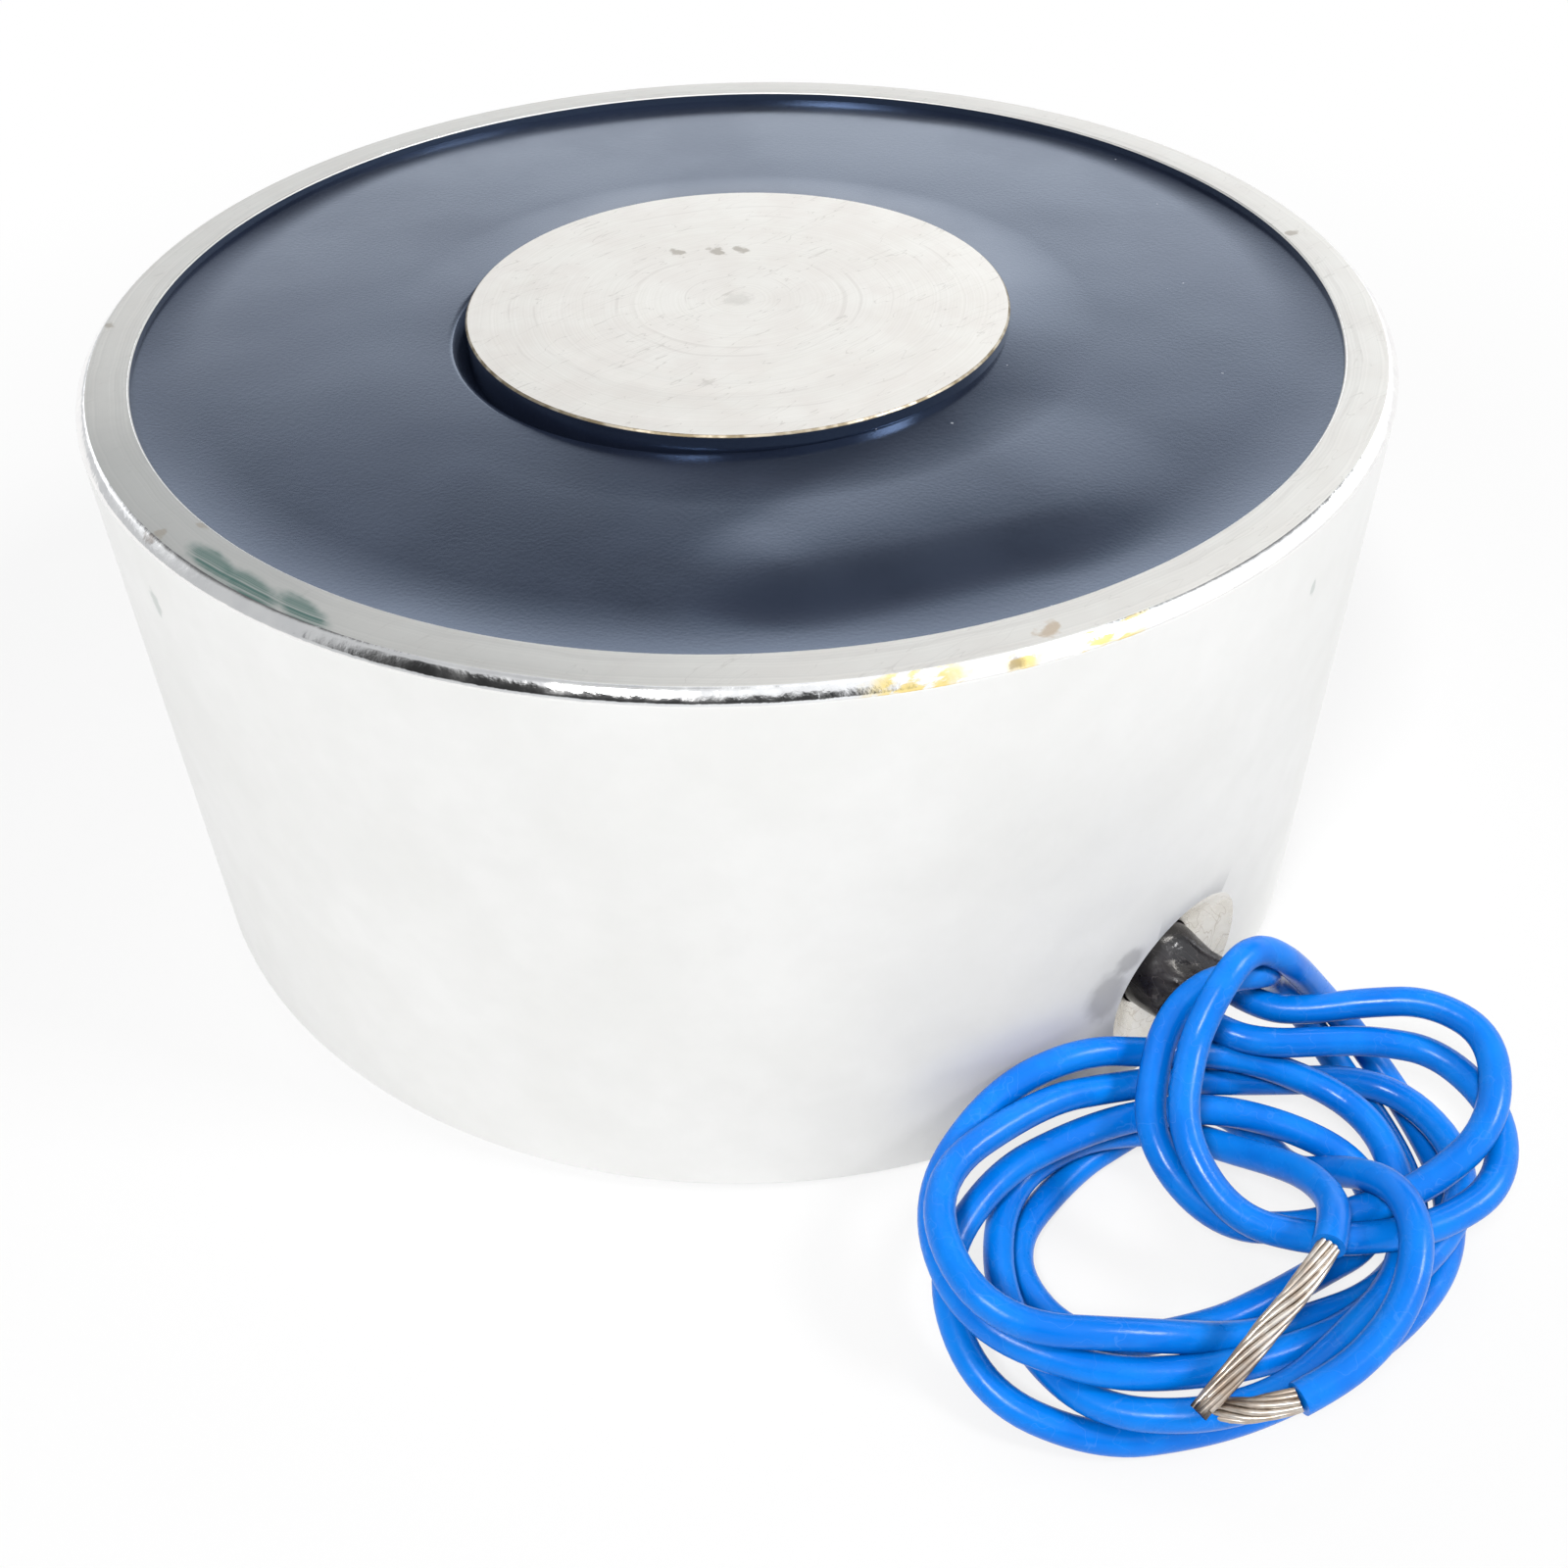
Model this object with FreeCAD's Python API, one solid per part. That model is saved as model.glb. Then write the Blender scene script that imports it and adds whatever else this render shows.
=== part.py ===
import FreeCAD, Part
import math
import os

# Round lifting electromagnet: a turned steel pot with a potted coil and two loose leads.
# Millimetres. The origin is the middle of the base, +Z points out of the pole face,
# and the leads come out of the wall along +X.

Vector = FreeCAD.Vector
UP = Vector(0, 0, 1)
OUT = Vector(1, 0, 0)

# Steel pot: base, wall and core turned from one bar
body_diameter = 80.0
body_height = 38.0
wall_thickness = 3.15
base_thickness = 6.0
core_diameter = 34.0
rim_chamfer = 0.6
base_chamfer = 1.0
pole_edge_chamfer = 0.25

# Tapped mounting hole in the middle of the base
thread_diameter = 8.0
thread_bore_diameter = 6.8
thread_bore_depth = 14.0
thread_mouth_chamfer = 0.3
drill_tip_angle = 118.0

# Countersunk hole in the wall for the leads
cable_hole_diameter = 6.0
cable_hole_rise = 1.5
cable_hole_drilled_past_wall = 4.0
cable_countersink_diameter = 12.6
cable_countersink_angle = 120.0

# Moulded coil former, which slides over the core and stands on the base
bobbin_core_clearance = 0.25
bobbin_tube_wall = 1.0
bobbin_flange_thickness = 1.2
bobbin_wall_gap = 2.85

# Copper winding and the tape round it
winding_inset = 1.4
tape_thickness = 0.4

# Cast resin: how far its face lies below the pole face, at the wall, near the core and at the core
resin_drop_at_wall = 0.6
resin_drop_near_core = 0.9
resin_drop_at_core = 1.4
resin_moat_width = 1.6
resin_face_sag = 0.15
resin_over_bobbin = 2.9

# Leads, and the sleeve that they leave the wall through
lead_diameter = 1.75
conductor_diameter = 1.25
lead_spacing = 3.2
lead_inner_bend = 3.0
sleeve_clearance = 0.1
sleeve_reach = 2.5
sleeve_end_round = 0.8

# Joints between the leads and the ends of the winding
splice_gap = 0.2
splice_length = 12.0
splice_above_bend = 3.0
coil_wire_diameter = 0.7
coil_wire_bend = 1.2
outer_tail_below_flange = 4.0
inner_tail_over_flange = 0.9
inner_tail_from_tube = 1.0

# Sizes that follow from those
body_radius = body_diameter / 2
core_radius = core_diameter / 2
chamber_radius = body_radius - wall_thickness
cable_hole_radius = cable_hole_diameter / 2
cable_height = base_thickness + cable_hole_rise
bobbin_inner_radius = core_radius + bobbin_core_clearance
bobbin_tube_radius = bobbin_inner_radius + bobbin_tube_wall
bobbin_flange_radius = chamber_radius - bobbin_wall_gap
bobbin_top = body_height - resin_drop_near_core - resin_over_bobbin
winding_bottom = base_thickness + bobbin_flange_thickness
winding_top = bobbin_top - bobbin_flange_thickness
tape_radius = bobbin_flange_radius - winding_inset + tape_thickness
winding_radius = tape_radius - tape_thickness
lead_channel_radius = (tape_radius + chamber_radius) / 2
sleeve_radius = cable_hole_radius - sleeve_clearance
sleeve_start = lead_channel_radius + lead_inner_bend
sleeve_end = body_radius + sleeve_reach
splice_bottom = cable_height + lead_inner_bend + splice_above_bend
splice_joint = splice_bottom + splice_length / 2
splice_radius = (lead_spacing - splice_gap) / 2
LEAD_SIDES = {"a": lead_spacing / 2, "b": -lead_spacing / 2}

# Hank of the two leads: an oval ring that leans on the wall, and a smaller loop lying over it.
# Each has its middle, the heading of its long axis, its half lengths, the heading and slope
# of its fall away from the wall, the radius of its tight ends and of its bundle of strands.
# Here and in the routes below, x is counted from the sleeve's outer end.
HANK_RING = dict(middle=Vector(8.4, -9.2, 3.9), heading=63.0, half_long=14.3, half_short=8.0,
                 end_radius=6.0, fall_heading=-27.0, fall=0.14, bundle_radius=2.6)
HANK_LOOP = dict(middle=Vector(9.5, -0.3, 7.5), heading=54.0, half_long=10.5, half_short=7.6,
                 end_radius=6.2, fall_heading=-20.0, fall=0.66, bundle_radius=2.1)

# Free stretches of the leads: from the sleeve to the hank, from the hank to the end of the jacket,
# and the stripped ends, which go on in the jacket's own direction for a short run
lead_exit_run = 2.2
stripped_first_run = 2.4
LEAD_STARTS = {
    "a": [(4.3, 2.2, 7.6), (6.2, 3.3, 8.0), (7.7, 4.9, 8.7), (8.9, 6.8, 9.6)],
    "b": [(4.3, -1.0, 7.4), (6.2, 0.1, 7.3), (7.7, 1.7, 7.1), (9.1, 3.5, 6.9),
          (10.7, 5.2, 6.6), (12.5, 6.6, 6.3), (14.5, 7.6, 6.0)],
}
LEAD_ENDS = {
    "a": [(2.9, -5.9, 5.0), (5.1, -5.1, 6.4), (7.7, -4.8, 7.3), (10.2, -5.1, 7.6),
          (12.4, -6.1, 7.6), (14.3, -7.6, 7.4)],
    "b": [(4.3, -1.9, 4.6), (6.7, -2.0, 6.4), (9.5, -2.4, 7.7), (12.5, -2.9, 8.4), (15.3, -4.0, 8.5),
          (17.7, -5.8, 7.8), (19.2, -8.2, 6.7), (19.6, -10.8, 5.6), (19.1, -13.4, 4.6)],
}
BARE_ENDS = {
    "a": [(17.2, -11.3, 7.0), (17.3, -13.9, 6.5), (16.7, -16.5, 5.5)],
    "b": [(17.5, -17.5, 3.0)],
}


def revolved(outline):
    """Solid turned from a closed outline of (radius, height) points."""
    points = [Vector(radius, 0, height) for radius, height in outline]
    face = Part.Face(Part.makePolygon(points + points[:1]))
    return face.revolve(Vector(0, 0, 0), UP, 360)


def ring(inner_radius, outer_radius, bottom, top):
    """Plain turned ring."""
    return revolved([
        (inner_radius, bottom),
        (outer_radius, bottom),
        (outer_radius, top),
        (inner_radius, top),
    ])


def half_turns(points):
    """Half the angle that a path turns by at each of its corners."""
    runs = [after - before for before, after in zip(points, points[1:])]
    return [run_in.getAngle(run_out) / 2 for run_in, run_out in zip(runs, runs[1:])]


def arc_path(points, bend_radii):
    """Straight runs joined by tangent arcs of the given radii."""
    edges = []
    start = points[0]
    corners = zip(points, points[1:], points[2:], half_turns(points), bend_radii)
    for before, corner, after, half_turn, radius in corners:
        into = (corner - before).normalize()
        away = (after - corner).normalize()
        inward = (away - into).normalize()
        trim = radius * math.tan(half_turn)
        arc_middle = corner + inward * (radius / math.cos(half_turn) - radius)
        arc_end = corner + away * trim
        edges.append(Part.LineSegment(start, corner - into * trim).toShape())
        edges.append(Part.Arc(corner - into * trim, arc_middle, arc_end).toShape())
        start = arc_end
    edges.append(Part.LineSegment(start, points[-1]).toShape())
    return Part.Wire(edges)


def swept(path, diameter, heading):
    """Round tube along a path that starts in the given heading."""
    section = Part.Wire(Part.makeCircle(diameter / 2, path.OrderedVertexes[0].Point, heading))
    return path.makePipeShell([section], True, False)


def bent_wire(points, diameter, bend_radius):
    """Round wire with one bend radius at every corner."""
    path = arc_path(points, [bend_radius] * (len(points) - 2))
    return swept(path, diameter, points[1] - points[0])


def cord(name, points, diameter):
    """Plain cord tube, each bend as large as its two runs allow."""
    runs = [(after - before).Length for before, after in zip(points, points[1:])]
    trims = [0.45 * min(run_in, run_out) for run_in, run_out in zip(runs, runs[1:])]
    radii = [trim / math.tan(half_turn) for trim, half_turn in zip(trims, half_turns(points))]
    path = arc_path(points, radii)
    solid = swept(path, diameter, points[1] - points[0])
    straight_volume = path.Length * math.pi * diameter ** 2 / 4
    print(name, "bend radii", [round(radius, 1) for radius in radii])
    print(name, "length", round(path.Length, 1), "volume ratio", round(solid.Volume / straight_volume, 4))
    return solid


def cable_hole_cutter(inner_end):
    """Drilled hole through the wall, with its countersink."""
    countersink_radius = cable_countersink_diameter / 2
    slope = math.tan(math.radians(cable_countersink_angle / 2))
    drill_start = Vector(inner_end, 0, cable_height)
    drill = Part.makeCylinder(cable_hole_radius, sleeve_end - inner_end, drill_start, OUT)
    depth = (countersink_radius - cable_hole_radius) / slope
    mouth = Part.makeCone(cable_hole_radius, countersink_radius + depth * slope, 2 * depth,
                          Vector(body_radius - depth, 0, cable_height), OUT)
    return drill.fuse(mouth)


def make_pot_body():
    """Base, wall and core as one turned piece, with the tapped hole and the cable hole."""
    bore_radius = thread_bore_diameter / 2
    mouth_radius = thread_diameter / 2 + thread_mouth_chamfer
    tip_depth = bore_radius / math.tan(math.radians(drill_tip_angle / 2))
    turned = revolved([
        (0, thread_bore_depth + tip_depth),
        (bore_radius, thread_bore_depth),
        (bore_radius, mouth_radius - bore_radius),
        (mouth_radius, 0),
        (body_radius - base_chamfer, 0),
        (body_radius, base_chamfer),
        (body_radius, body_height - rim_chamfer),
        (body_radius - rim_chamfer, body_height),
        (chamber_radius + pole_edge_chamfer, body_height),
        (chamber_radius, body_height - pole_edge_chamfer),
        (chamber_radius, base_thickness),
        (core_radius, base_thickness),
        (core_radius, body_height - pole_edge_chamfer),
        (core_radius - pole_edge_chamfer, body_height),
        (0, body_height),
    ])
    return turned.cut(cable_hole_cutter(chamber_radius - cable_hole_drilled_past_wall))


def make_coil_bobbin():
    """Spool with a thin tube and two flanges."""
    return revolved([
        (bobbin_inner_radius, base_thickness),
        (bobbin_flange_radius, base_thickness),
        (bobbin_flange_radius, winding_bottom),
        (bobbin_tube_radius, winding_bottom),
        (bobbin_tube_radius, winding_top),
        (bobbin_flange_radius, winding_top),
        (bobbin_flange_radius, bobbin_top),
        (bobbin_inner_radius, bobbin_top),
    ])


def make_inner_lead(side):
    """Lead from the sleeve's outer end to its joint, bent up beside the coil."""
    points = [
        Vector(sleeve_end, side, cable_height),
        Vector(lead_channel_radius, side, cable_height),
        Vector(lead_channel_radius, side, splice_joint),
    ]
    return bent_wire(points, lead_diameter, lead_inner_bend)


def make_outer_tail(side, winding):
    """End of the winding's last layer, from the joint to the outside of the coil."""
    height = winding_top - outer_tail_below_flange
    points = [
        Vector(lead_channel_radius, side, splice_joint),
        Vector(lead_channel_radius, side, height),
        Vector(winding_radius - coil_wire_diameter, side, height),
    ]
    return bent_wire(points, coil_wire_diameter, coil_wire_bend).cut(winding)


def make_inner_tail(side):
    """End of the winding's first layer, from the joint over the top flange to the tube."""
    height = bobbin_top + inner_tail_over_flange
    inner_place = bobbin_tube_radius + inner_tail_from_tube
    points = [
        Vector(lead_channel_radius, side, splice_joint),
        Vector(lead_channel_radius, side, height),
        Vector(inner_place, side, height),
        Vector(inner_place, side, winding_top),
    ]
    return bent_wire(points, coil_wire_diameter, coil_wire_bend)


def make_splice_sleeve(side):
    """Insulating sleeve over the joint of a lead and a coil end."""
    foot = Vector(lead_channel_radius, side, splice_bottom)
    return Part.makeCylinder(splice_radius, splice_length, foot, UP)


def make_exit_sleeve():
    """Soft plug in the cable hole that both leads pass through."""
    inner_face = Vector(sleeve_start, 0, cable_height)
    plug = Part.makeCylinder(sleeve_radius, sleeve_end - sleeve_start, inner_face, OUT)
    outer_edges = [edge for edge in plug.Edges if abs(edge.BoundBox.XMin - sleeve_end) < 1e-6]
    return plug.makeFillet(sleeve_end_round, outer_edges)


def make_resin():
    """Cast resin: fills the chamber round the coil, with a moat at the core and a slightly sunk face."""
    wall_height = body_height - resin_drop_at_wall
    moat_radius = core_radius + resin_moat_width
    moat_height = body_height - resin_drop_near_core
    core_height = body_height - resin_drop_at_core
    wall_top = Vector(chamber_radius, 0, wall_height)
    moat_edge = Vector(moat_radius, 0, moat_height)
    sag_point = (wall_top + moat_edge) * 0.5 - UP * resin_face_sag
    core_edge = Vector(core_radius, 0, core_height)
    core_foot = Vector(core_radius, 0, base_thickness)
    wall_foot = Vector(chamber_radius, 0, base_thickness)
    outline = Part.Wire([
        Part.Arc(wall_top, sag_point, moat_edge).toShape(),
        Part.LineSegment(moat_edge, core_edge).toShape(),
        Part.LineSegment(core_edge, core_foot).toShape(),
        Part.LineSegment(core_foot, wall_foot).toShape(),
        Part.LineSegment(wall_foot, wall_top).toShape(),
    ])
    filling = Part.Face(outline).revolve(Vector(0, 0, 0), UP, 360)
    core_gap = Part.makeCylinder(bobbin_inner_radius, bobbin_top - base_thickness, UP * base_thickness)
    inner_end = chamber_radius - cable_hole_drilled_past_wall
    hole_filling = Part.makeCylinder(cable_hole_radius, sleeve_start - inner_end,
                                     Vector(inner_end, 0, cable_height), OUT)
    return filling.cut(core_gap).fuse(hole_filling)


def from_sleeve(points):
    """Route points with x counted from the sleeve's outer end."""
    return [Vector(sleeve_end + x, y, z) for x, y, z in points]


def make_oval_bundle(middle, heading, half_long, half_short, end_radius, fall_heading, fall, bundle_radius):
    """Closed bundle of strands along an oval of four arcs, on a plane that falls away from the wall."""
    along = Vector(math.cos(math.radians(heading)), math.sin(math.radians(heading)), 0)
    downhill = Vector(math.cos(math.radians(fall_heading)), math.sin(math.radians(fall_heading)), 0) * fall
    normal = (downhill + UP).normalize()
    long_axis = (along - UP * downhill.dot(along)).normalize()
    short_axis = normal.cross(long_axis)
    side_radius = half_long ** 2 + half_short ** 2 - 2 * half_long * end_radius
    side_radius = side_radius / (2 * (half_short - end_radius))
    side_offset = side_radius - half_short
    end_offset = half_long - end_radius
    meeting = Vector(end_offset, side_offset, 0).normalize() * end_radius
    meet_long = end_offset + meeting.x
    meet_short = meeting.y

    def place(along_long, along_short):
        return OUT * sleeve_end + middle + long_axis * along_long + short_axis * along_short

    round_the_oval = [
        place(meet_long, -meet_short),
        place(half_long, 0),
        place(meet_long, meet_short),
        place(0, half_short),
        place(-meet_long, meet_short),
        place(-half_long, 0),
        place(-meet_long, -meet_short),
        place(0, -half_short),
        place(meet_long, -meet_short),
    ]
    path = Part.Wire([Part.Arc(*round_the_oval[first:first + 3]).toShape() for first in (0, 2, 4, 6)])
    first_edge = path.OrderedEdges[0]
    return swept(path, 2 * bundle_radius, first_edge.tangentAt(first_edge.FirstParameter))


def make_free_leads(hank):
    """Leads from the sleeve into the hank, and out of it to the stripped ends."""
    pieces = {}
    for name, side in LEAD_SIDES.items():
        exit_point = Vector(sleeve_end, side, cable_height)
        start = [exit_point, exit_point + OUT * lead_exit_run] + from_sleeve(LEAD_STARTS[name])
        pieces["lead_start_" + name] = cord("lead_start_" + name, start, lead_diameter).cut(hank)
        end = from_sleeve(LEAD_ENDS[name])
        pieces["lead_end_" + name] = cord("lead_end_" + name, end, lead_diameter).cut(hank)
        heading = (end[-1] - end[-2]).normalize()
        bare = [end[-1], end[-1] + heading * stripped_first_run] + from_sleeve(BARE_ENDS[name])
        pieces["bare_end_" + name] = cord("bare_end_" + name, bare, conductor_diameter)
    return pieces


def make_pieces():
    """Every piece, cut to fit round its neighbours."""
    winding = ring(bobbin_tube_radius, winding_radius, winding_bottom, winding_top)
    leads = {name: make_inner_lead(side) for name, side in LEAD_SIDES.items()}
    tails = {
        "a": make_outer_tail(LEAD_SIDES["a"], winding),
        "b": make_inner_tail(LEAD_SIDES["b"]),
    }
    wires = list(leads.values()) + list(tails.values())
    splices = {name: make_splice_sleeve(side) for name, side in LEAD_SIDES.items()}
    bobbin = make_coil_bobbin().cut(tails["b"])
    tape = ring(winding_radius, tape_radius, winding_bottom, winding_top).cut(tails["a"])
    sleeve = make_exit_sleeve()
    buried = [bobbin, winding, tape, sleeve] + list(splices.values()) + wires
    hank = make_oval_bundle(**HANK_RING).fuse(make_oval_bundle(**HANK_LOOP)).removeSplitter()

    pieces = {
        "pot_body": make_pot_body(),
        "coil_bobbin": bobbin,
        "coil_winding": winding,
        "coil_tape": tape,
        "potting_resin": make_resin().cut(buried),
        "exit_sleeve": sleeve.cut(list(leads.values())),
        "lead_hank": hank,
    }
    for name in LEAD_SIDES:
        pieces["splice_sleeve_" + name] = splices[name].cut([leads[name], tails[name]])
        pieces["coil_tail_" + name] = tails[name]
        pieces["lead_inner_" + name] = leads[name]
    pieces.update(make_free_leads(hank))
    return pieces


def main():
    os.makedirs("parts", exist_ok=True)
    for name, shape in make_pieces().items():
        print(name, "valid", shape.isValid(), "solids", len(shape.Solids), "volume", round(shape.Volume, 2))
        shape.exportStep("parts/" + name + ".step")


main()
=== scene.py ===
"""Looks of a small round lifting electromagnet.

A nickel-plated steel pot with a cast resin ring, a soft black sleeve in the cable hole,
and two thin blue leads wound into a loose hank beside it.
"""

import math

import bmesh
import bpy
from mathutils import Euler, Matrix, Vector, geometry, noise


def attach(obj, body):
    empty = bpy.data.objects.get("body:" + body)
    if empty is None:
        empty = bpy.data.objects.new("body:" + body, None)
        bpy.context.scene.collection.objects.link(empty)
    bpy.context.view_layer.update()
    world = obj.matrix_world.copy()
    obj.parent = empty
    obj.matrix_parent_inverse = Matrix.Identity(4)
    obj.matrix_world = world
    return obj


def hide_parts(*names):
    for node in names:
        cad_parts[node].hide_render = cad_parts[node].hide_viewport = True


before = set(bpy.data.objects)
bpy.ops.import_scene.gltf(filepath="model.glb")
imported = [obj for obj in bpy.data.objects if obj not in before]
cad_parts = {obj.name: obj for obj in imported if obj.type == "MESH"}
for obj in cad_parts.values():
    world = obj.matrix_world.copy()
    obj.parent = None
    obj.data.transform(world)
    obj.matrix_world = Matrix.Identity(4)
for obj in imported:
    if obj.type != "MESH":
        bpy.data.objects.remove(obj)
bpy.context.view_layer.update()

# Sizes in millimetres and angles in degrees; the main sizes are those of the solids
MM = 0.001
BODY_RADIUS = 40.0
BODY_HEIGHT = 38.0
CHAMBER_RADIUS = 36.85
BASE_THICKNESS = 6.0
CORE_RADIUS = 17.0
RIM_CHAMFER = 0.6
BASE_CHAMFER = 1.0
CORE_EDGE = 0.12
LIP_EDGE = 0.08
EDGE_SOFTNESS = 0.03
BODY_STEPS = 256
BASE_SOFTNESS = 0.09
RIM_SOFTNESS = 0.2
WALL_RINGS = (15.0, 26.0)
FACE_RING = 8.0
CENTRE_MARK = ((0.9, 0.0), (0.55, -0.02), (0.3, 0.0), (0.0, 0.01))
SHARP_ANGLE = 32.0
MERGE_DISTANCE = 0.0005

THREAD_ROOT = 4.05
THREAD_TIP = 3.4
THREAD_MOUTH = 4.3
THREAD_PITCH = 1.25
THREAD_TURNS = 9
THREAD_START = 1.1
THREAD_SUNK = 0.1
THREAD_ROOT_SHARE = 0.44
THREAD_TIP_SHARE = 0.12
THREAD_STEPS = 48
DRILL_DEPTH = 14.0
DRILL_TIP = 16.04
RUNOUT_START = 0.8
RUNOUT_END = 1.4

CABLE_HEIGHT = 7.5
CABLE_HOLE_RADIUS = 3.0
CABLE_HOLE_INNER_END = 32.85
COUNTERSINK_RADIUS = 6.3
COUNTERSINK_SLOPE = 0.577
CABLE_TOOL_REACH = 4.0
CABLE_STEPS = 96

RESIN_AT_WALL = 37.2
RESIN_AT_CORE = 36.85
FAR_ANGLE = 140.0
WALL_CLIMB_FAR = 0.25
WALL_CLIMB_FRONT = 0.35
WALL_REACH_FAR = 1.6
WALL_REACH_FRONT = 5.2
CORE_CLIMB = 0.36
CORE_REACH = 5.5
WALL_CURVE = 2.2
CORE_CURVE = 1.8
GROOVE_CURVE = 1.3
GROOVE_FOCUS = 4
GROOVE_LEAST = 0.1
GROOVE_ANGLE = -108.0
GROOVE_DEPTH = 1.2
GROOVE_WIDTH = 1.1
RIDGE_HEIGHT = 0.26
RIDGE_START = (23.5, -16.5)
RIDGE_END = (28.5, -3.5)
RIDGE_WIDTH = 6.0
RIDGE_SPREAD = 1.3
RESIN_WAVES = ((0.06, 0.075, (3.1, 7.7, 0.4)), (0.01, 0.21, (0.4, 2.9, 5.3)))
RESIN_RINGS = 72
RESIN_STEPS = 192
RESIN_SPACING = 1.4
RESIN_UNDERSIDE = 34.3
SKIRT_GAP = 0.05
SKIRT_STEPS = 96
GAP_RADIUS = 34.05
LEAD_CHANNEL_ANGLE = 9.0

RIGHT_WAY = (0.643, 0.766, 0.0)

SLEEVE_RADIUS = 2.9
SLEEVE_START = 37.95
SLEEVE_END = 42.5
SLEEVE_STEPS = 72
SLEEVE_RUNS = 14
SLEEVE_SHOULDER = 0.5
SLEEVE_TAPER = 0.02
SLEEVE_TIP = ((0.1, 0.45), (0.0, 1.0))
SLEEVE_MOUTH = ((0.35, 1.2), (0.6, 0.0))
FREE_START = 1.6
FREE_REACH = 2.6
FOLD_FINENESS = 0.42
FOLD_SHIFT = (1.7, 0.3, 4.2)
FOLD_DEPTH = 0.55
FOLD_LEVEL = 0.25
DENT_FINENESS = 0.6
DENT_DEPTH = 0.3
PINCH = 0.24
PLEATS = 5.0
PLEAT_DEPTH = 0.06
PLEAT_TWIST = 0.8
CRUMPLE_ACROSS = 0.16
CRUMPLE_ALONG = 0.35
LEAD_RADIUS = 0.875


# Helpers for shapes

def outline(points):
    """An open chain of straight edges in the XZ plane."""
    shape = bmesh.new()
    corners = [shape.verts.new((x, 0.0, z)) for x, z in points]
    for first, second in zip(corners, corners[1:]):
        shape.edges.new((first, second))
    return shape


def soften(shape, corners, radius):
    """Rounds the chosen corners of an outline."""
    bmesh.ops.bevel(
        shape,
        geom=corners,
        offset=radius,
        affect="VERTICES",
        segments=3,
        profile=0.5,
        material=-1,
    )


def spin_round(shape, axis=(0.0, 0.0, 1.0), middle=(0.0, 0.0, 0.0), steps=BODY_STEPS):
    """Spins an outline once round an axis and closes the seam."""
    bmesh.ops.spin(
        shape,
        geom=shape.verts[:] + shape.edges[:],
        axis=axis,
        cent=middle,
        angle=math.tau,
        steps=steps,
        use_merge=True,
    )
    bmesh.ops.remove_doubles(shape, verts=shape.verts, dist=MERGE_DISTANCE)


def sweep(shape, section, angle, steps, first=0.0, climb=0.0):
    """Sweeps a closed section round the upright axis from a first angle, with a climb at each step."""
    face = shape.faces.new([shape.verts.new((x, 0.0, z)) for x, z in section])
    begin = Matrix.Rotation(first, 3, "Z")
    bmesh.ops.rotate(shape, verts=face.verts, cent=(0.0, 0.0, 0.0), matrix=begin)
    bmesh.ops.spin(
        shape,
        geom=[face],
        axis=(0.0, 0.0, 1.0),
        cent=(0.0, 0.0, 0.0),
        dvec=(0.0, 0.0, climb),
        angle=angle,
        steps=steps,
    )


def finished(shape, name, materials, sharp=SHARP_ANGLE):
    """Puts a shape drawn in millimetres into the scene, as an object in metres at the origin."""
    bmesh.ops.remove_doubles(shape, verts=shape.verts, dist=MERGE_DISTANCE)
    bmesh.ops.recalc_face_normals(shape, faces=shape.faces)
    bmesh.ops.scale(shape, vec=(MM, MM, MM), verts=shape.verts)
    mesh = bpy.data.meshes.new(name)
    shape.to_mesh(mesh)
    shape.free()
    for material in materials:
        mesh.materials.append(material)
    mesh.shade_smooth()
    mesh.set_sharp_from_angle(angle=math.radians(sharp))
    piece = bpy.data.objects.new(name, mesh)
    bpy.context.scene.collection.objects.link(piece)
    return piece


def as_mesh(piece):
    """The mesh of a piece with its modifiers or its curve worked out."""
    bpy.context.view_layer.update()
    ready = piece.evaluated_get(bpy.context.evaluated_depsgraph_get())
    return bpy.data.meshes.new_from_object(ready)


def eased(low, high, share):
    """Goes from low to high with a soft start and end."""
    share = min(max(share, 0.0), 1.0)
    return low + (high - low) * share * share * (3.0 - 2.0 * share)


# Helpers for shader nodes

def put(tree, kind, values=None, **settings):
    """Adds a node, sets its options and fills its sockets with values or links."""
    made = tree.nodes.new(kind)
    for setting, value in settings.items():
        setattr(made, setting, value)
    for socket, value in (values or {}).items():
        if isinstance(value, bpy.types.NodeSocket):
            tree.links.new(value, made.inputs[socket])
        else:
            made.inputs[socket].default_value = value
    return made


def count(tree, operation, first, second=0.0):
    """One step of arithmetic on values."""
    return put(tree, "ShaderNodeMath", {0: first, 1: second}, operation=operation).outputs[0]


def times(tree, first, second):
    """One value made larger or smaller by another."""
    return count(tree, "MULTIPLY", first, second)


def move(tree, operation, first, second=(0.0, 0.0, 0.0)):
    """One step of arithmetic on vectors."""
    return put(tree, "ShaderNodeVectorMath", {0: first, 1: second}, operation=operation).outputs[0]


def size_of(tree, vector):
    """The length of a vector."""
    return put(tree, "ShaderNodeVectorMath", {0: vector}, operation="LENGTH").outputs["Value"]


def level_part(tree, vector):
    """A vector without its rise."""
    return move(tree, "MULTIPLY", vector, (1.0, 1.0, 0.0))


def height_of(tree, place):
    """The height of a place."""
    return put(tree, "ShaderNodeSeparateXYZ", {0: place}).outputs["Z"]


def along(tree, direction, way):
    """How far a direction points along a way."""
    product = put(tree, "ShaderNodeVectorMath", {0: direction, 1: way}, operation="DOT_PRODUCT")
    return product.outputs["Value"]


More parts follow.
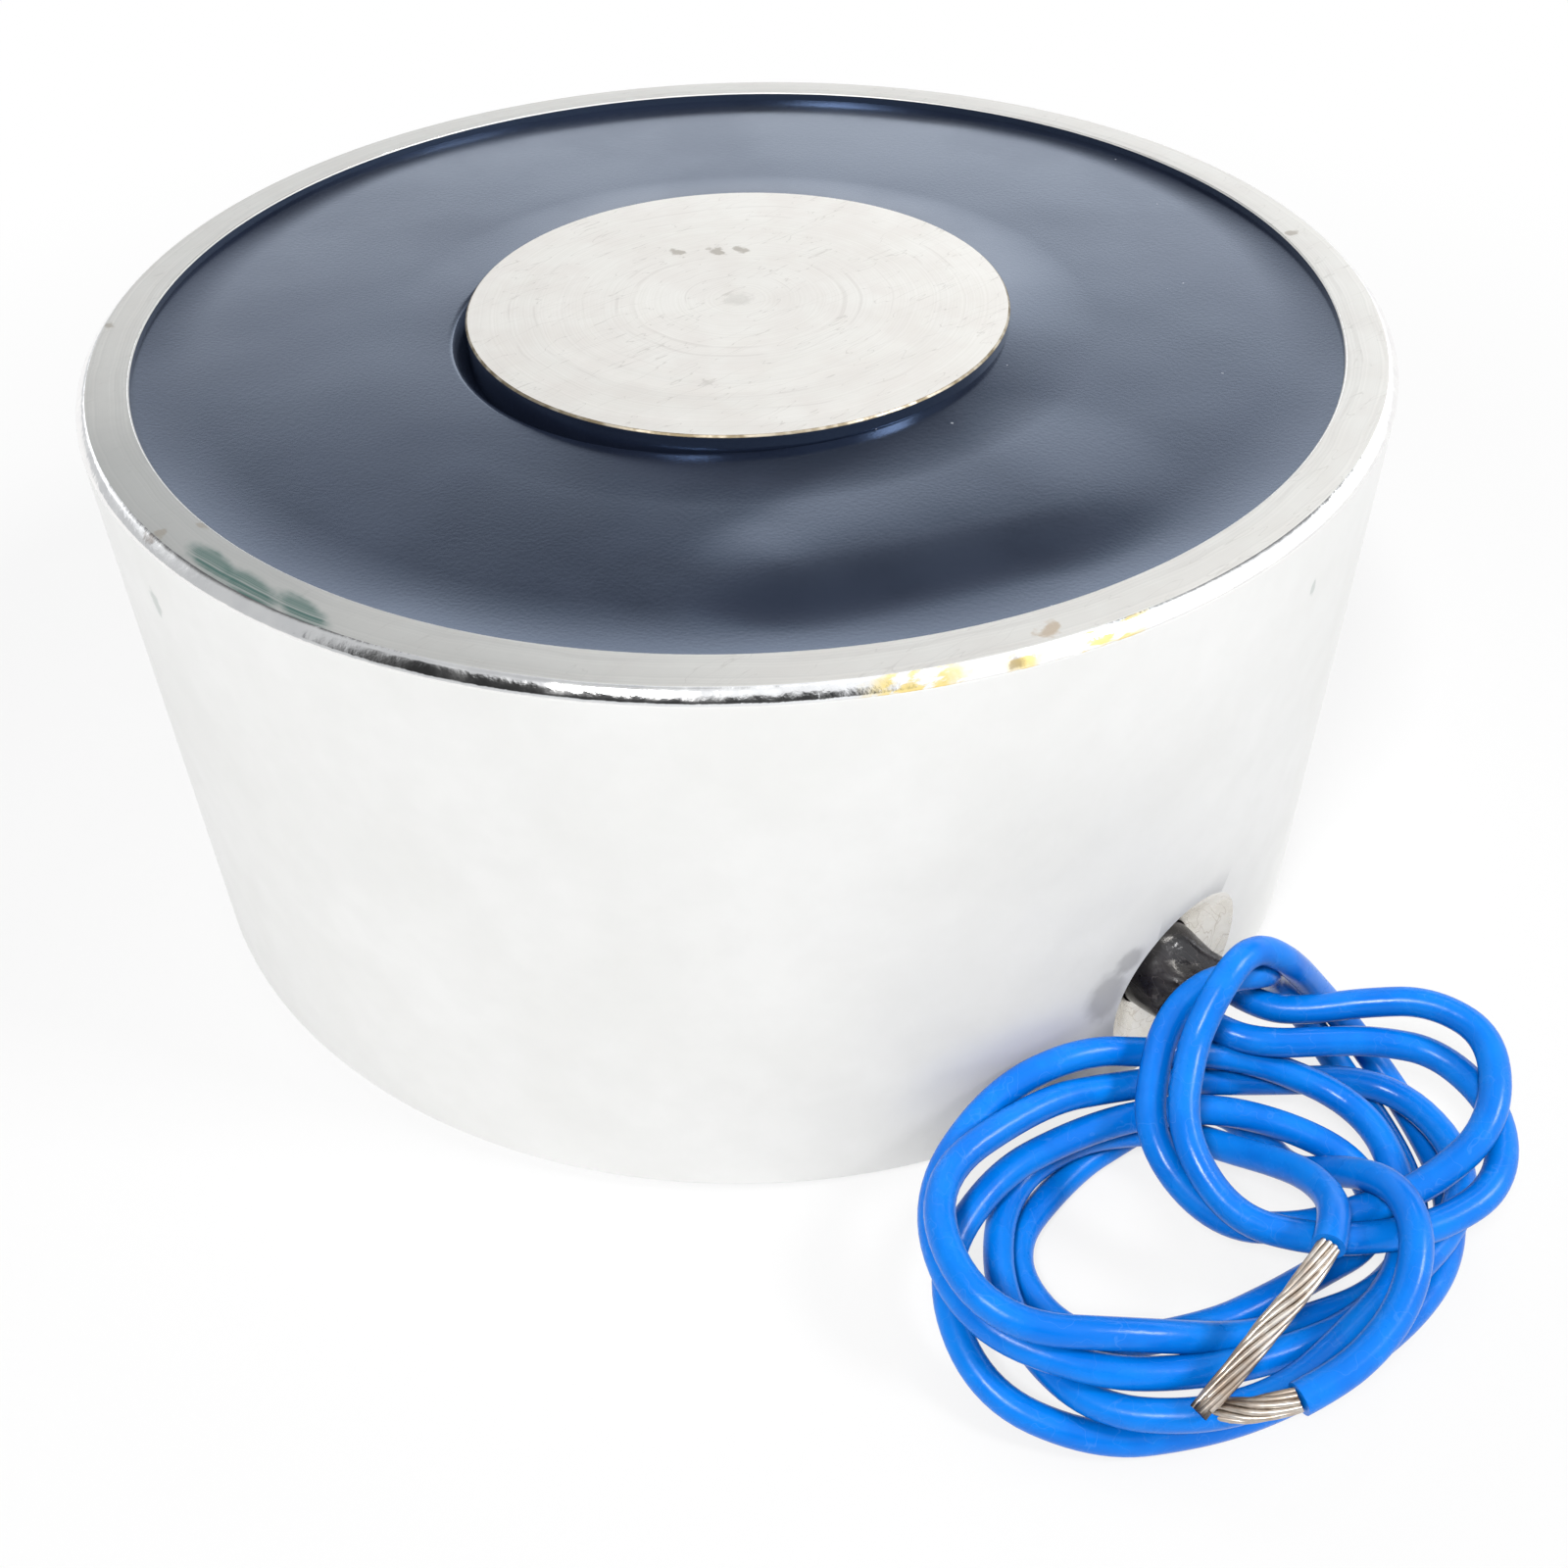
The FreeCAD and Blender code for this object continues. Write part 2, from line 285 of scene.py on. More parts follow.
def ranged(tree, value, low, high, new_low=0.0, new_high=1.0):
    """Brings a value softly from one range into another."""
    sockets = {"Value": value, "From Min": low, "From Max": high, "To Min": new_low, "To Max": new_high}
    return put(tree, "ShaderNodeMapRange", sockets, interpolation_type="SMOOTHSTEP").outputs["Result"]


def between(tree, value, start, end):
    """One between a soft start and a soft end, nought elsewhere."""
    return times(tree, ranged(tree, value, *start), ranged(tree, value, *end))


def blended(tree, share, first, second):
    """Mixes two colours by a mask."""
    mixer = put(tree, "ShaderNodeMix", {0: share}, data_type="RGBA")
    for socket, value in ((mixer.inputs[6], first), (mixer.inputs[7], second)):
        if isinstance(value, bpy.types.NodeSocket):
            tree.links.new(value, socket)
        else:
            socket.default_value = (*value, 1.0)
    return mixer.outputs[2]


def tinted(tree, colour, tint, mask, strength):
    """Lays a tint over a colour, as far as a mask and a strength say."""
    return blended(tree, times(tree, mask, strength), colour, tint)


def millimetres(tree):
    """Object coordinates of the piece, counted in millimetres."""
    coordinates = put(tree, "ShaderNodeTexCoord").outputs["Object"]
    sockets = {"Vector": coordinates, "Scale": (1.0 / MM,) * 3}
    return put(tree, "ShaderNodeMapping", sockets).outputs["Vector"]


def new_effect(name, inputs, output):
    """An empty shader node group with named inputs and one output."""
    effect = bpy.data.node_groups.new(name, "ShaderNodeTree")
    for socket, kind in inputs.items():
        effect.interface.new_socket(socket, in_out="INPUT", socket_type="NodeSocket" + kind)
    effect.interface.new_socket(output, in_out="OUTPUT", socket_type="NodeSocketFloat")
    given = effect.nodes.new("NodeGroupInput").outputs
    result = effect.nodes.new("NodeGroupOutput").inputs[0]
    return effect, given, result


def effect_in(tree, effect, **values):
    """Places a shared effect in a material and gives what it puts out."""
    return put(tree, "ShaderNodeGroup", values, node_tree=effect).outputs[0]


# Effects that several finishes share

def make_mottle():
    """Soft cloudy patches of a given size."""
    effect, given, result = new_effect("mottle", {"Place": "Vector", "Size": "Float"}, "Mask")
    fineness = count(effect, "DIVIDE", 1.0, given["Size"])
    grains = {"Vector": given["Place"], "Scale": fineness, "Detail": 4.0}
    clouds = put(effect, "ShaderNodeTexNoise", grains).outputs[0]
    effect.links.new(ranged(effect, clouds, 0.32, 0.68), result)
    return effect


def make_turned_marks():
    """Uneven rings round the axis, as a lathe tool leaves them."""
    sockets = {"Place": "Vector", "Pitch": "Float", "Wander": "Float"}
    effect, given, result = new_effect("turned marks", sockets, "Height")
    flat = level_part(effect, given["Place"])
    drift = put(effect, "ShaderNodeTexNoise", {"Vector": flat, "Scale": 0.12, "Detail": 2.0}).outputs[0]
    radius = count(effect, "ADD", size_of(effect, flat), times(effect, drift, given["Wander"]))
    rings = put(effect, "ShaderNodeTexNoise", {"Scale": 1.0, "Detail": 3.0}, noise_dimensions="1D")
    effect.links.new(count(effect, "DIVIDE", radius, given["Pitch"]), rings.inputs["W"])
    effect.links.new(rings.outputs[0], result)
    return effect


def make_stain():
    """A soft mark with a ragged edge at one place."""
    sockets = {"Place": "Vector", "Middle": "Vector", "Reach": "Vector", "Ragged": "Float"}
    effect, given, result = new_effect("stain", sockets, "Mask")
    offset = move(effect, "SUBTRACT", given["Place"], given["Middle"])
    offset = move(effect, "DIVIDE", offset, given["Reach"])
    grains = {"Vector": given["Place"], "Scale": 1.7, "Detail": 5.0}
    rough = put(effect, "ShaderNodeTexNoise", grains).outputs[0]
    rough = times(effect, count(effect, "SUBTRACT", rough, 0.5), given["Ragged"])
    distance = count(effect, "ADD", size_of(effect, offset), rough)
    effect.links.new(ranged(effect, distance, 1.0, 0.45), result)
    return effect


def make_specks():
    """Scattered small grains, of which only a share is there."""
    sockets = {"Place": "Vector", "Spacing": "Float", "Size": "Float", "Share": "Float"}
    effect, given, result = new_effect("specks", sockets, "Mask")
    fineness = count(effect, "DIVIDE", 1.0, given["Spacing"])
    cells = put(effect, "ShaderNodeTexVoronoi", {"Vector": given["Place"], "Scale": fineness})
    chance = put(effect, "ShaderNodeSeparateColor", {0: cells.outputs["Color"]}).outputs[0]
    present = count(effect, "LESS_THAN", chance, given["Share"])
    reach = count(effect, "DIVIDE", given["Size"], given["Spacing"])
    near = count(effect, "LESS_THAN", cells.outputs["Distance"], times(effect, reach, chance))
    effect.links.new(times(effect, present, near), result)
    return effect


def make_scratches():
    """Thin wandering lines, drawn out along one direction."""
    sockets = {"Place": "Vector", "Stretch": "Vector", "Width": "Float"}
    effect, given, result = new_effect("scratches", sockets, "Mask")
    drawn = move(effect, "MULTIPLY", given["Place"], given["Stretch"])
    lines = put(effect, "ShaderNodeTexNoise", {"Vector": drawn, "Scale": 1.0, "Detail": 2.0}).outputs[0]
    middle = count(effect, "ABSOLUTE", count(effect, "SUBTRACT", lines, 0.5))
    effect.links.new(ranged(effect, middle, given["Width"], 0.0), result)
    return effect


MOTTLE = make_mottle()
TURNED_MARKS = make_turned_marks()
STAIN = make_stain()
SPECKS = make_specks()
SCRATCHES = make_scratches()


# Colours of the finishes
PLATE_DIM = (0.89, 0.89, 0.875)
PLATE_PALE = (0.925, 0.925, 0.915)
PLATE_CLOUD = (0.83, 0.83, 0.815)
GRIME_BROWN = (0.33, 0.25, 0.17)
SLEEVE_REFLECTION_GREY = (0.30, 0.29, 0.29)
TICK_GREY = (0.45, 0.50, 0.48)
NICKEL_DIM = (0.80, 0.78, 0.735)
NICKEL_PALE = (0.845, 0.825, 0.785)
NICKEL_BAND = (0.75, 0.725, 0.69)
NICKEL_CLOUD = (0.855, 0.835, 0.80)
NICKEL_BLUSH = (0.72, 0.665, 0.625)
ARC_BROWN = (0.52, 0.48, 0.44)
SCORE_BROWN = (0.52, 0.49, 0.45)
PIT_BROWN = (0.40, 0.36, 0.31)
RIM_DULL_AND_SHADE = (0.55, 0.55, 0.535)
RIM_SHADE = (0.36, 0.37, 0.365)
STAIN_GREEN = (0.055, 0.15, 0.13)
NICK_BROWN = (0.36, 0.32, 0.27)
SPOT_BROWN = (0.42, 0.27, 0.12)
CENTRE_GREY = (0.62, 0.60, 0.56)
BRIGHT_DIM = (0.86, 0.85, 0.85)
BRIGHT_PALE = (0.93, 0.92, 0.91)
GOLD_PATCH = (0.92, 0.70, 0.20)
RUST_BROWN = (0.20, 0.14, 0.10)
WORN_DARK = (0.20, 0.16, 0.10)
WORN_PALE = (0.44, 0.39, 0.31)
DRILLED_DIM = (0.70, 0.67, 0.61)
DRILLED_PALE = (0.86, 0.84, 0.80)
DRILLED_SCORE = (0.36, 0.28, 0.20)
RESIN_DARK = (0.007, 0.010, 0.020)
RESIN_PALE = (0.010, 0.014, 0.028)
RESIN_GRAIN = (0.018, 0.023, 0.040)
RESIN_DUST = (0.42, 0.44, 0.48)
RESIN_SCRATCH = (0.01, 0.01, 0.012)
RESIN_SHEEN = (0.46, 0.65, 1.0, 1.0)
BLUE_DEEP = (0.0, 0.18, 0.77)
BLUE_BRIGHT = (0.0, 0.228, 0.87)
BLUE_DUST = (0.55, 0.68, 0.90)
BLUE_SCUFF = (0.10, 0.33, 0.88)
CREVICE_SHADE_BLUE = (0.0, 0.03, 0.26)
BOUNCE_LIGHT_GREY = (0.55, 0.55, 0.56)
TIN_DIM = (0.48, 0.42, 0.36)
TIN_PALE = (0.70, 0.66, 0.61)
TIN_COPPER = (0.36, 0.25, 0.17)
TIN_BROWN = (0.26, 0.19, 0.14)
TIN_BLACK = (0.04, 0.032, 0.028)
BLACK_DEEP = (0.009, 0.008, 0.010)
BLACK_PALE = (0.022, 0.019, 0.022)
BLACK_SCORE = (0.14, 0.12, 0.12)
NYLON_DIM = (0.62, 0.58, 0.48)
NYLON_PALE = (0.72, 0.69, 0.60)
COPPER_DARK = (0.35, 0.10, 0.035)
COPPER_BRIGHT = (0.72, 0.30, 0.12)
AMBER_DARK = (0.55, 0.26, 0.03)
AMBER_BRIGHT = (0.70, 0.37, 0.06)


# Finishes

def new_finish(name, **constants):
    """A material with one shader, its plain values set on the shader, and its coordinates."""
    finish = bpy.data.materials.new(name)
    finish.use_nodes = True
    shader = finish.node_tree.nodes["Principled BSDF"]
    for socket, value in constants.items():
        shader.inputs[socket.replace("_", " ")].default_value = value
    return finish, finish.node_tree, shader, millimetres(finish.node_tree)


def mottled(tree, place, size):
    """A mask of cloudy patches of one size in millimetres."""
    return effect_in(tree, MOTTLE, Place=place, Size=size)


def dress(tree, shader, colour, mask, first, last, low=0.0, high=1.0):
    """Feeds the shader a colour, and a roughness that goes from first to last with a mask."""
    roughness = ranged(tree, mask, low, high, first, last)
    tree.links.new(colour, shader.inputs["Base Color"])
    tree.links.new(roughness, shader.inputs["Roughness"])


def relief(tree, shader, height, depth):
    """Feeds a height, counted in millimetres of depth, to the shader as bump."""
    bump = put(tree, "ShaderNodeBump", {"Height": height, "Distance": depth * MM, "Strength": 1.0})
    tree.links.new(bump.outputs[0], shader.inputs["Normal"])


def stained(tree, place, colour, tint, marks, ragged, strength):
    """Lays marks of one tint over a colour; each mark is a middle and a reach."""
    for middle, reach in marks:
        mask = effect_in(tree, STAIN, Place=place, Middle=middle, Reach=reach, Ragged=ragged)
        colour = tinted(tree, colour, tint, mask, strength)
    return colour


def make_plated_wall():
    """Satin nickel on the outside of the pot, with pale clouds, a few specks and a painted reflection
    of the sleeve beside the cable hole.
    """
    finish, tree, shader, place = new_finish("plated wall", Metallic=0.15)
    broad = mottled(tree, place, 9.0)
    small = mottled(tree, place, 2.4)
    colour = blended(tree, broad, PLATE_DIM, PLATE_PALE)
    colour = tinted(tree, colour, PLATE_CLOUD, small, 0.2)
    grime = effect_in(tree, SPECKS, Place=place, Spacing=2.6, Size=0.32, Share=0.12)
    low = ranged(tree, height_of(tree, place), 9.0, 1.0)
    colour = tinted(tree, colour, GRIME_BROWN, grime, low)
    # Painted reflection of the black sleeve: dark smears beside the cable hole
    sleeve_reflection = [((39.3, -6.6, 10.4), (2.4, 1.9, 2.6)), ((39.8, -5.2, 12.6), (2.0, 1.4, 1.2))]
    colour = stained(tree, place, colour, SLEEVE_REFLECTION_GREY, sleeve_reflection, 0.35, 0.5)
    ticks = [((-1.0, -40.0, 33.6), (0.7, 0.5, 1.0)), ((39.6, 6.2, 33.2), (0.5, 0.3, 0.7))]
    colour = stained(tree, place, colour, TICK_GREY, ticks, 1.6, 0.5)
    dress(tree, shader, colour, small, 0.48, 0.58)
    swell = mottled(tree, place, 6.0)
    peel = mottled(tree, place, 0.5)
    relief(tree, shader, count(tree, "ADD", swell, times(tree, peel, 0.04)), 0.035)
    return finish


def make_turned_nickel():
    """Satin nickel over lathe marks, on the rim's top, the core's face and the base."""
    finish, tree, shader, place = new_finish("turned nickel", Metallic=0.75)
    rings = effect_in(tree, TURNED_MARKS, Place=place, Pitch=0.16, Wander=0.8)
    bands = effect_in(tree, TURNED_MARKS, Place=place, Pitch=1.7, Wander=2.5)
    clouds = mottled(tree, place, 5.0)
    colour = blended(tree, ranged(tree, rings, 0.3, 0.7), NICKEL_DIM, NICKEL_PALE)
    colour = tinted(tree, colour, NICKEL_BAND, bands, 0.25)
    colour = tinted(tree, colour, NICKEL_CLOUD, clouds, 0.5)
    blush = mottled(tree, place, 2.6)
    colour = tinted(tree, colour, NICKEL_BLUSH, blush, 0.3)
    arcs = effect_in(tree, TURNED_MARKS, Place=place, Pitch=0.55, Wander=1.6)
    arcs = times(tree, ranged(tree, arcs, 0.6, 0.72), ranged(tree, clouds, 0.3, 0.8))
    colour = tinted(tree, colour, ARC_BROWN, arcs, 0.2)
    scores = effect_in(tree, SCRATCHES, Place=place, Stretch=(0.9, 0.12, 0.5), Width=0.006)
    colour = tinted(tree, colour, SCORE_BROWN, scores, 0.45)
    pits = effect_in(tree, SPECKS, Place=place, Spacing=1.9, Size=0.15, Share=0.32)
    colour = tinted(tree, colour, PIT_BROWN, pits, 0.7)
    on_rim = ranged(tree, size_of(tree, level_part(tree, place)), 30.0, 33.0)
    on_top = ranged(tree, height_of(tree, place), 20.0, 30.0)
    on_rim = times(tree, on_rim, on_top)
    # A duller rim, with painted shade that darkens it more on the left than on the right
    dulled_and_shaded = ranged(tree, along(tree, place, RIGHT_WAY), -38.0, 38.0, 0.68, 0.42)
    dulled_and_shaded = times(tree, dulled_and_shaded, ranged(tree, rings, 0.3, 0.7, 1.0, 0.75))
    colour = tinted(tree, colour, RIM_DULL_AND_SHADE, on_rim, dulled_and_shaded)
    # Painted shade over the front of the rim
    shaded = [((8.0, -47.0, 38.0), (48.0, 30.0, 3.0)), ((0.0, -38.5, 38.0), (17.0, 8.0, 3.0))]
    colour = stained(tree, place, colour, RIM_SHADE, shaded, 0.1, 0.38)
    green = [
        ((4.4, -38.3, 38.0), (2.8, 0.9, 1.0)),
        ((7.8, -38.0, 38.0), (3.0, 1.0, 1.0)),
        ((11.2, -37.1, 38.0), (2.8, 0.9, 1.0)),
    ]
    streaks = ranged(tree, rings, 0.35, 0.6, 0.35, 0.9)
    colour = stained(tree, place, colour, STAIN_GREEN, green, 0.3, streaks)
    nicks = [
        ((0.2, -39.0, 38.0), (0.6, 0.35, 0.8)),
        ((0.9, -37.1, 38.0), (0.6, 0.25, 0.8)),
        ((17.9, 33.0, 38.0), (0.4, 0.7, 0.8)),
        ((-24.1, -30.6, 38.0), (0.6, 0.4, 0.8)),
        ((-8.0, 1.6, 38.0), (0.8, 0.5, 0.6)),
        ((-6.4, 3.6, 38.0), (1.2, 0.5, 0.6)),
        ((-5.6, 4.9, 38.0), (0.8, 0.5, 0.6)),
    ]
    colour = stained(tree, place, colour, NICK_BROWN, nicks, 2.4, 0.65)
    spot = [((36.6, -12.1, 38.0), (0.6, 0.9, 0.6))]
    colour = stained(tree, place, colour, SPOT_BROWN, spot, 2.2, 0.5)
    centre = [((0.0, 0.0, 38.0), (1.1, 1.1, 0.6))]
    colour = stained(tree, place, colour, CENTRE_GREY, centre, 1.4, 0.5)
    dress(tree, shader, colour, bands, 0.5, 0.6, low=0.2, high=0.8)
    relief(tree, shader, rings, 0.006)
    return finish


def make_bright_edge():
    """The polished chamfers, with tool chatter and gold patches along part of the outer chamfer."""
    finish, tree, shader, place = new_finish("bright edge", Metallic=1.0)
    clouds = mottled(tree, place, 1.6)
    colour = blended(tree, clouds, BRIGHT_DIM, BRIGHT_PALE)
    film = [
        ((34.7, -18.8, 37.5), (2.2, 3.6, 0.9)),
        ((36.8, -13.9, 37.5), (0.9, 1.6, 0.8)),
        ((38.2, -9.6, 37.5), (1.4, 3.6, 0.9)),
    ]
    drawn_out = move(tree, "MULTIPLY", place, (1.5, 0.4, 2.4))
    patchy = ranged(tree, mottled(tree, drawn_out, 0.9), 0.25, 0.75, 0.0, 0.85)
    colour = stained(tree, place, colour, GOLD_PATCH, film, 0.5, patchy)
    rust = [((36.9, -14.6, 37.5), (0.35, 0.5, 0.6)), ((-0.2, -39.5, 37.6), (0.6, 0.4, 0.6))]
    colour = stained(tree, place, colour, RUST_BROWN, rust, 2.2, 0.55)
    dress(tree, shader, colour, clouds, 0.08, 0.16)
    relief(tree, shader, mottled(tree, place, 1.1), 0.012)
    return finish


def make_worn_edge():
    """The core's own edge, handled and browned."""
    finish, tree, shader, place = new_finish("worn edge", Metallic=1.0)
    clouds = mottled(tree, place, 0.8)
    colour = blended(tree, clouds, WORN_DARK, WORN_PALE)
    dress(tree, shader, colour, clouds, 0.55, 0.4)
    return finish


def make_drilled_steel():
    """Bare machined steel in the holes: cream grey with brown tool marks."""
    finish, tree, shader, place = new_finish("drilled steel", Metallic=1.0)
    clouds = mottled(tree, place, 1.8)
    colour = blended(tree, clouds, DRILLED_DIM, DRILLED_PALE)
    scores = effect_in(tree, SCRATCHES, Place=place, Stretch=(2.2, 0.3, 0.3), Width=0.014)
    colour = tinted(tree, colour, DRILLED_SCORE, scores, 0.35)
    dress(tree, shader, colour, clouds, 0.2, 0.34)
    relief(tree, shader, scores, -0.006)
    return finish


def make_cast_resin():
    """Dark blue-grey cast resin: satin, slightly waved, with dust and one scratch."""
    finish, tree, shader, place = new_finish("cast resin", IOR=1.9, Specular_Tint=RESIN_SHEEN)
    broad = mottled(tree, place, 11.0)
    grain = mottled(tree, place, 0.22)
    colour = blended(tree, broad, RESIN_DARK, RESIN_PALE)
    colour = tinted(tree, colour, RESIN_GRAIN, grain, 0.25)
    dust = effect_in(tree, SPECKS, Place=place, Spacing=2.3, Size=0.36, Share=0.24)
    colour = tinted(tree, colour, RESIN_DUST, dust, 0.7)
    scratch = [((21.2, -0.1, 36.6), (0.7, 0.12, 0.8)), ((21.0, 0.4, 36.6), (0.12, 0.6, 0.8))]
    colour = stained(tree, place, colour, RESIN_SCRATCH, scratch, 0.8, 0.9)
    dress(tree, shader, colour, broad, 0.15, 0.21)
    relief(tree, shader, grain, 0.0015)
    return finish


# Painted shade and painted bounce light: light from the jacket is a dark deep blue up to the second
# length, shading the crevices between turns, and grey beyond the first
CREVICE_REACH = (5.0 * MM, 1.5 * MM)


def make_lead_jacket():
    """Soft glossy blue insulation with a little dust, and painted shade between its turns."""
    finish, tree, shader, place = new_finish("lead jacket", IOR=1.32)
    clouds = mottled(tree, place, 3.0)
    colour = blended(tree, clouds, BLUE_DEEP, BLUE_BRIGHT)
    dust = effect_in(tree, SPECKS, Place=place, Spacing=1.1, Size=0.12, Share=0.14)
    colour = tinted(tree, colour, BLUE_DUST, dust, 0.55)
    scuffs = effect_in(tree, SCRATCHES, Place=place, Stretch=(0.5, 0.5, 0.5), Width=0.008)
    colour = tinted(tree, colour, BLUE_SCUFF, scuffs, 0.25)
    # Painted shade: rays that reach the jacket from nearby see it dark navy; painted bounce light: rays
    # from afar see it grey
    path = put(tree, "ShaderNodeLightPath").outputs
    passed_on = count(tree, "MAXIMUM", path["Is Diffuse Ray"], path["Is Glossy Ray"])
    close = times(tree, passed_on, ranged(tree, path["Ray Length"], *CREVICE_REACH))
    grey_bounce = count(tree, "SUBTRACT", passed_on, close)
    colour = tinted(tree, colour, CREVICE_SHADE_BLUE, close, 0.95)
    colour = tinted(tree, colour, BOUNCE_LIGHT_GREY, grey_bounce, 0.9)
    dress(tree, shader, colour, clouds, 0.22, 0.30)
    relief(tree, shader, mottled(tree, place, 0.5), 0.004)
    return finish


def make_tinned_strand():
    """Tinned copper wire: silver grey, with brown copper in the grooves."""
    finish, tree, shader, place = new_finish("tinned strand", Metallic=1.0)
    clouds = mottled(tree, place, 1.2)
    colour = blended(tree, clouds, TIN_DIM, TIN_PALE)
    worn = mottled(tree, place, 0.45)
    colour = tinted(tree, colour, TIN_COPPER, worn, 0.35)
    browned = [((57.9, -18.0, 6.1), (1.7, 3.0, 1.7))]
    colour = stained(tree, place, colour, TIN_BROWN, browned, 0.5, 0.55)
    # A dark patch at the tip of bare end A
    dark_tip = [((57.8, -20.9, 4.8), (1.6, 1.5, 1.6))]
    colour = stained(tree, place, colour, TIN_BLACK, dark_tip, 0.5, 0.9)
    dress(tree, shader, colour, worn, 0.30, 0.44)
    return finish


def make_black_sleeve():
    """Shiny black sleeve with fine pale scratches."""
    finish, tree, shader, place = new_finish("black sleeve", IOR=1.5, Specular_IOR_Level=0.5)
    clouds = mottled(tree, place, 1.5)
    colour = blended(tree, clouds, BLACK_DEEP, BLACK_PALE)
    scores = effect_in(tree, SCRATCHES, Place=place, Stretch=(0.5, 1.6, 0.7), Width=0.012)
    colour = tinted(tree, colour, BLACK_SCORE, scores, 0.35)
    dress(tree, shader, colour, clouds, 0.12, 0.26)
    relief(tree, shader, mottled(tree, place, 0.6), 0.012)
    return finish


def make_bobbin_nylon():
    """Natural moulded nylon of the coil former."""
    finish, tree, shader, place = new_finish("bobbin nylon", Specular_IOR_Level=0.4)
    flow = mottled(tree, place, 7.0)
    colour = blended(tree, flow, NYLON_DIM, NYLON_PALE)
    dress(tree, shader, colour, flow, 0.38, 0.5)
    relief(tree, shader, mottled(tree, place, 0.3), 0.01)
    return finish


def make_coil_copper():
    """Enamelled copper wire, wound in close layers."""
    finish, tree, shader, place = new_finish("coil copper", Metallic=1.0)
    waves = {"Vector": place, "Scale": 0.45, "Distortion": 0.4, "Detail": 1.0}
    turns = put(tree, "ShaderNodeTexWave", waves, bands_direction="Z").outputs[1]
    colour = blended(tree, turns, COPPER_DARK, COPPER_BRIGHT)
    dress(tree, shader, colour, turns, 0.4, 0.24)
    relief(tree, shader, turns, 0.2)
    return finish


def make_coil_tape():
    """Amber film tape round the winding, slightly creased."""
    finish, tree, shader, place = new_finish("coil tape", Specular_IOR_Level=0.5)
    clouds = mottled(tree, place, 4.0)
    creases = effect_in(tree, SCRATCHES, Place=place, Stretch=(0.1, 0.1, 0.5), Width=0.03)
    colour = blended(tree, clouds, AMBER_DARK, AMBER_BRIGHT)
    dress(tree, shader, colour, clouds, 0.18, 0.3)
    relief(tree, shader, creases, 0.05)
    return finish


PLATED_WALL = make_plated_wall()
TURNED_NICKEL = make_turned_nickel()
BRIGHT_EDGE = make_bright_edge()
WORN_EDGE = make_worn_edge()
DRILLED_STEEL = make_drilled_steel()
CAST_RESIN = make_cast_resin()
LEAD_JACKET = make_lead_jacket()
TINNED_STRAND = make_tinned_strand()
BLACK_SLEEVE = make_black_sleeve()
BOBBIN_NYLON = make_bobbin_nylon()
COIL_COPPER = make_coil_copper()
COIL_TAPE = make_coil_tape()


# Pot body

def cut_cable_hole(pot):
    """Drills and countersinks the cable hole through the wall."""
    depth = (COUNTERSINK_RADIUS - CABLE_HOLE_RADIUS) * COUNTERSINK_SLOPE
    beyond = BODY_RADIUS + CABLE_TOOL_REACH
    wide = COUNTERSINK_RADIUS + CABLE_TOOL_REACH / COUNTERSINK_SLOPE
    tool = outline([
        (CABLE_HOLE_INNER_END, CABLE_HEIGHT),
        (CABLE_HOLE_INNER_END, CABLE_HEIGHT + CABLE_HOLE_RADIUS),
        (BODY_RADIUS - depth, CABLE_HEIGHT + CABLE_HOLE_RADIUS),
        (beyond, CABLE_HEIGHT + wide),
        (beyond, CABLE_HEIGHT),
    ])
    spin_round(tool, axis=(1.0, 0.0, 0.0), middle=(0.0, 0.0, CABLE_HEIGHT), steps=CABLE_STEPS)
    cutter = finished(tool, "cable_hole_tool", [DRILLED_STEEL])
    cut = pot.modifiers.new("cable hole", "BOOLEAN")
    cut.object = cutter
    cut.operation = "DIFFERENCE"
    cut.solver = "EXACT"
    cut.material_mode = "TRANSFER"
    drilled = as_mesh(pot)
    pot.modifiers.clear()
    pot.data = drilled
    bpy.data.objects.remove(cutter)
    pot.data.set_sharp_from_angle(angle=math.radians(SHARP_ANGLE))


# A face counts as upright or level by the rise of its normal
UPRIGHT = 0.25
LEVEL = 0.97
CLOSE_BY = 0.1
POT_FINISHES = [PLATED_WALL, TURNED_NICKEL, BRIGHT_EDGE, DRILLED_STEEL, CAST_RESIN, WORN_EDGE]


def pot_finish(radius, height, rise):
    """The finish of one face of the pot, from its place and the rise of its normal."""
    above_base = height > BASE_THICKNESS + 1.0
    sloped = UPRIGHT < rise < LEVEL and above_base
    if radius < THREAD_MOUTH and height < DRILL_TIP + 0.5:
        return DRILLED_STEEL
    if rise < UPRIGHT and height > BASE_THICKNESS and radius < CHAMBER_RADIUS + CLOSE_BY:
        return CAST_RESIN
    if sloped and radius < CORE_RADIUS + CLOSE_BY:
        return WORN_EDGE
    if sloped and radius > CHAMBER_RADIUS + LIP_EDGE:
        return BRIGHT_EDGE
    if rise >= LEVEL and radius > THREAD_MOUTH - 0.5 and height < 0.5:
        return TURNED_NICKEL
    if rise >= UPRIGHT and above_base:
        return TURNED_NICKEL
    return PLATED_WALL


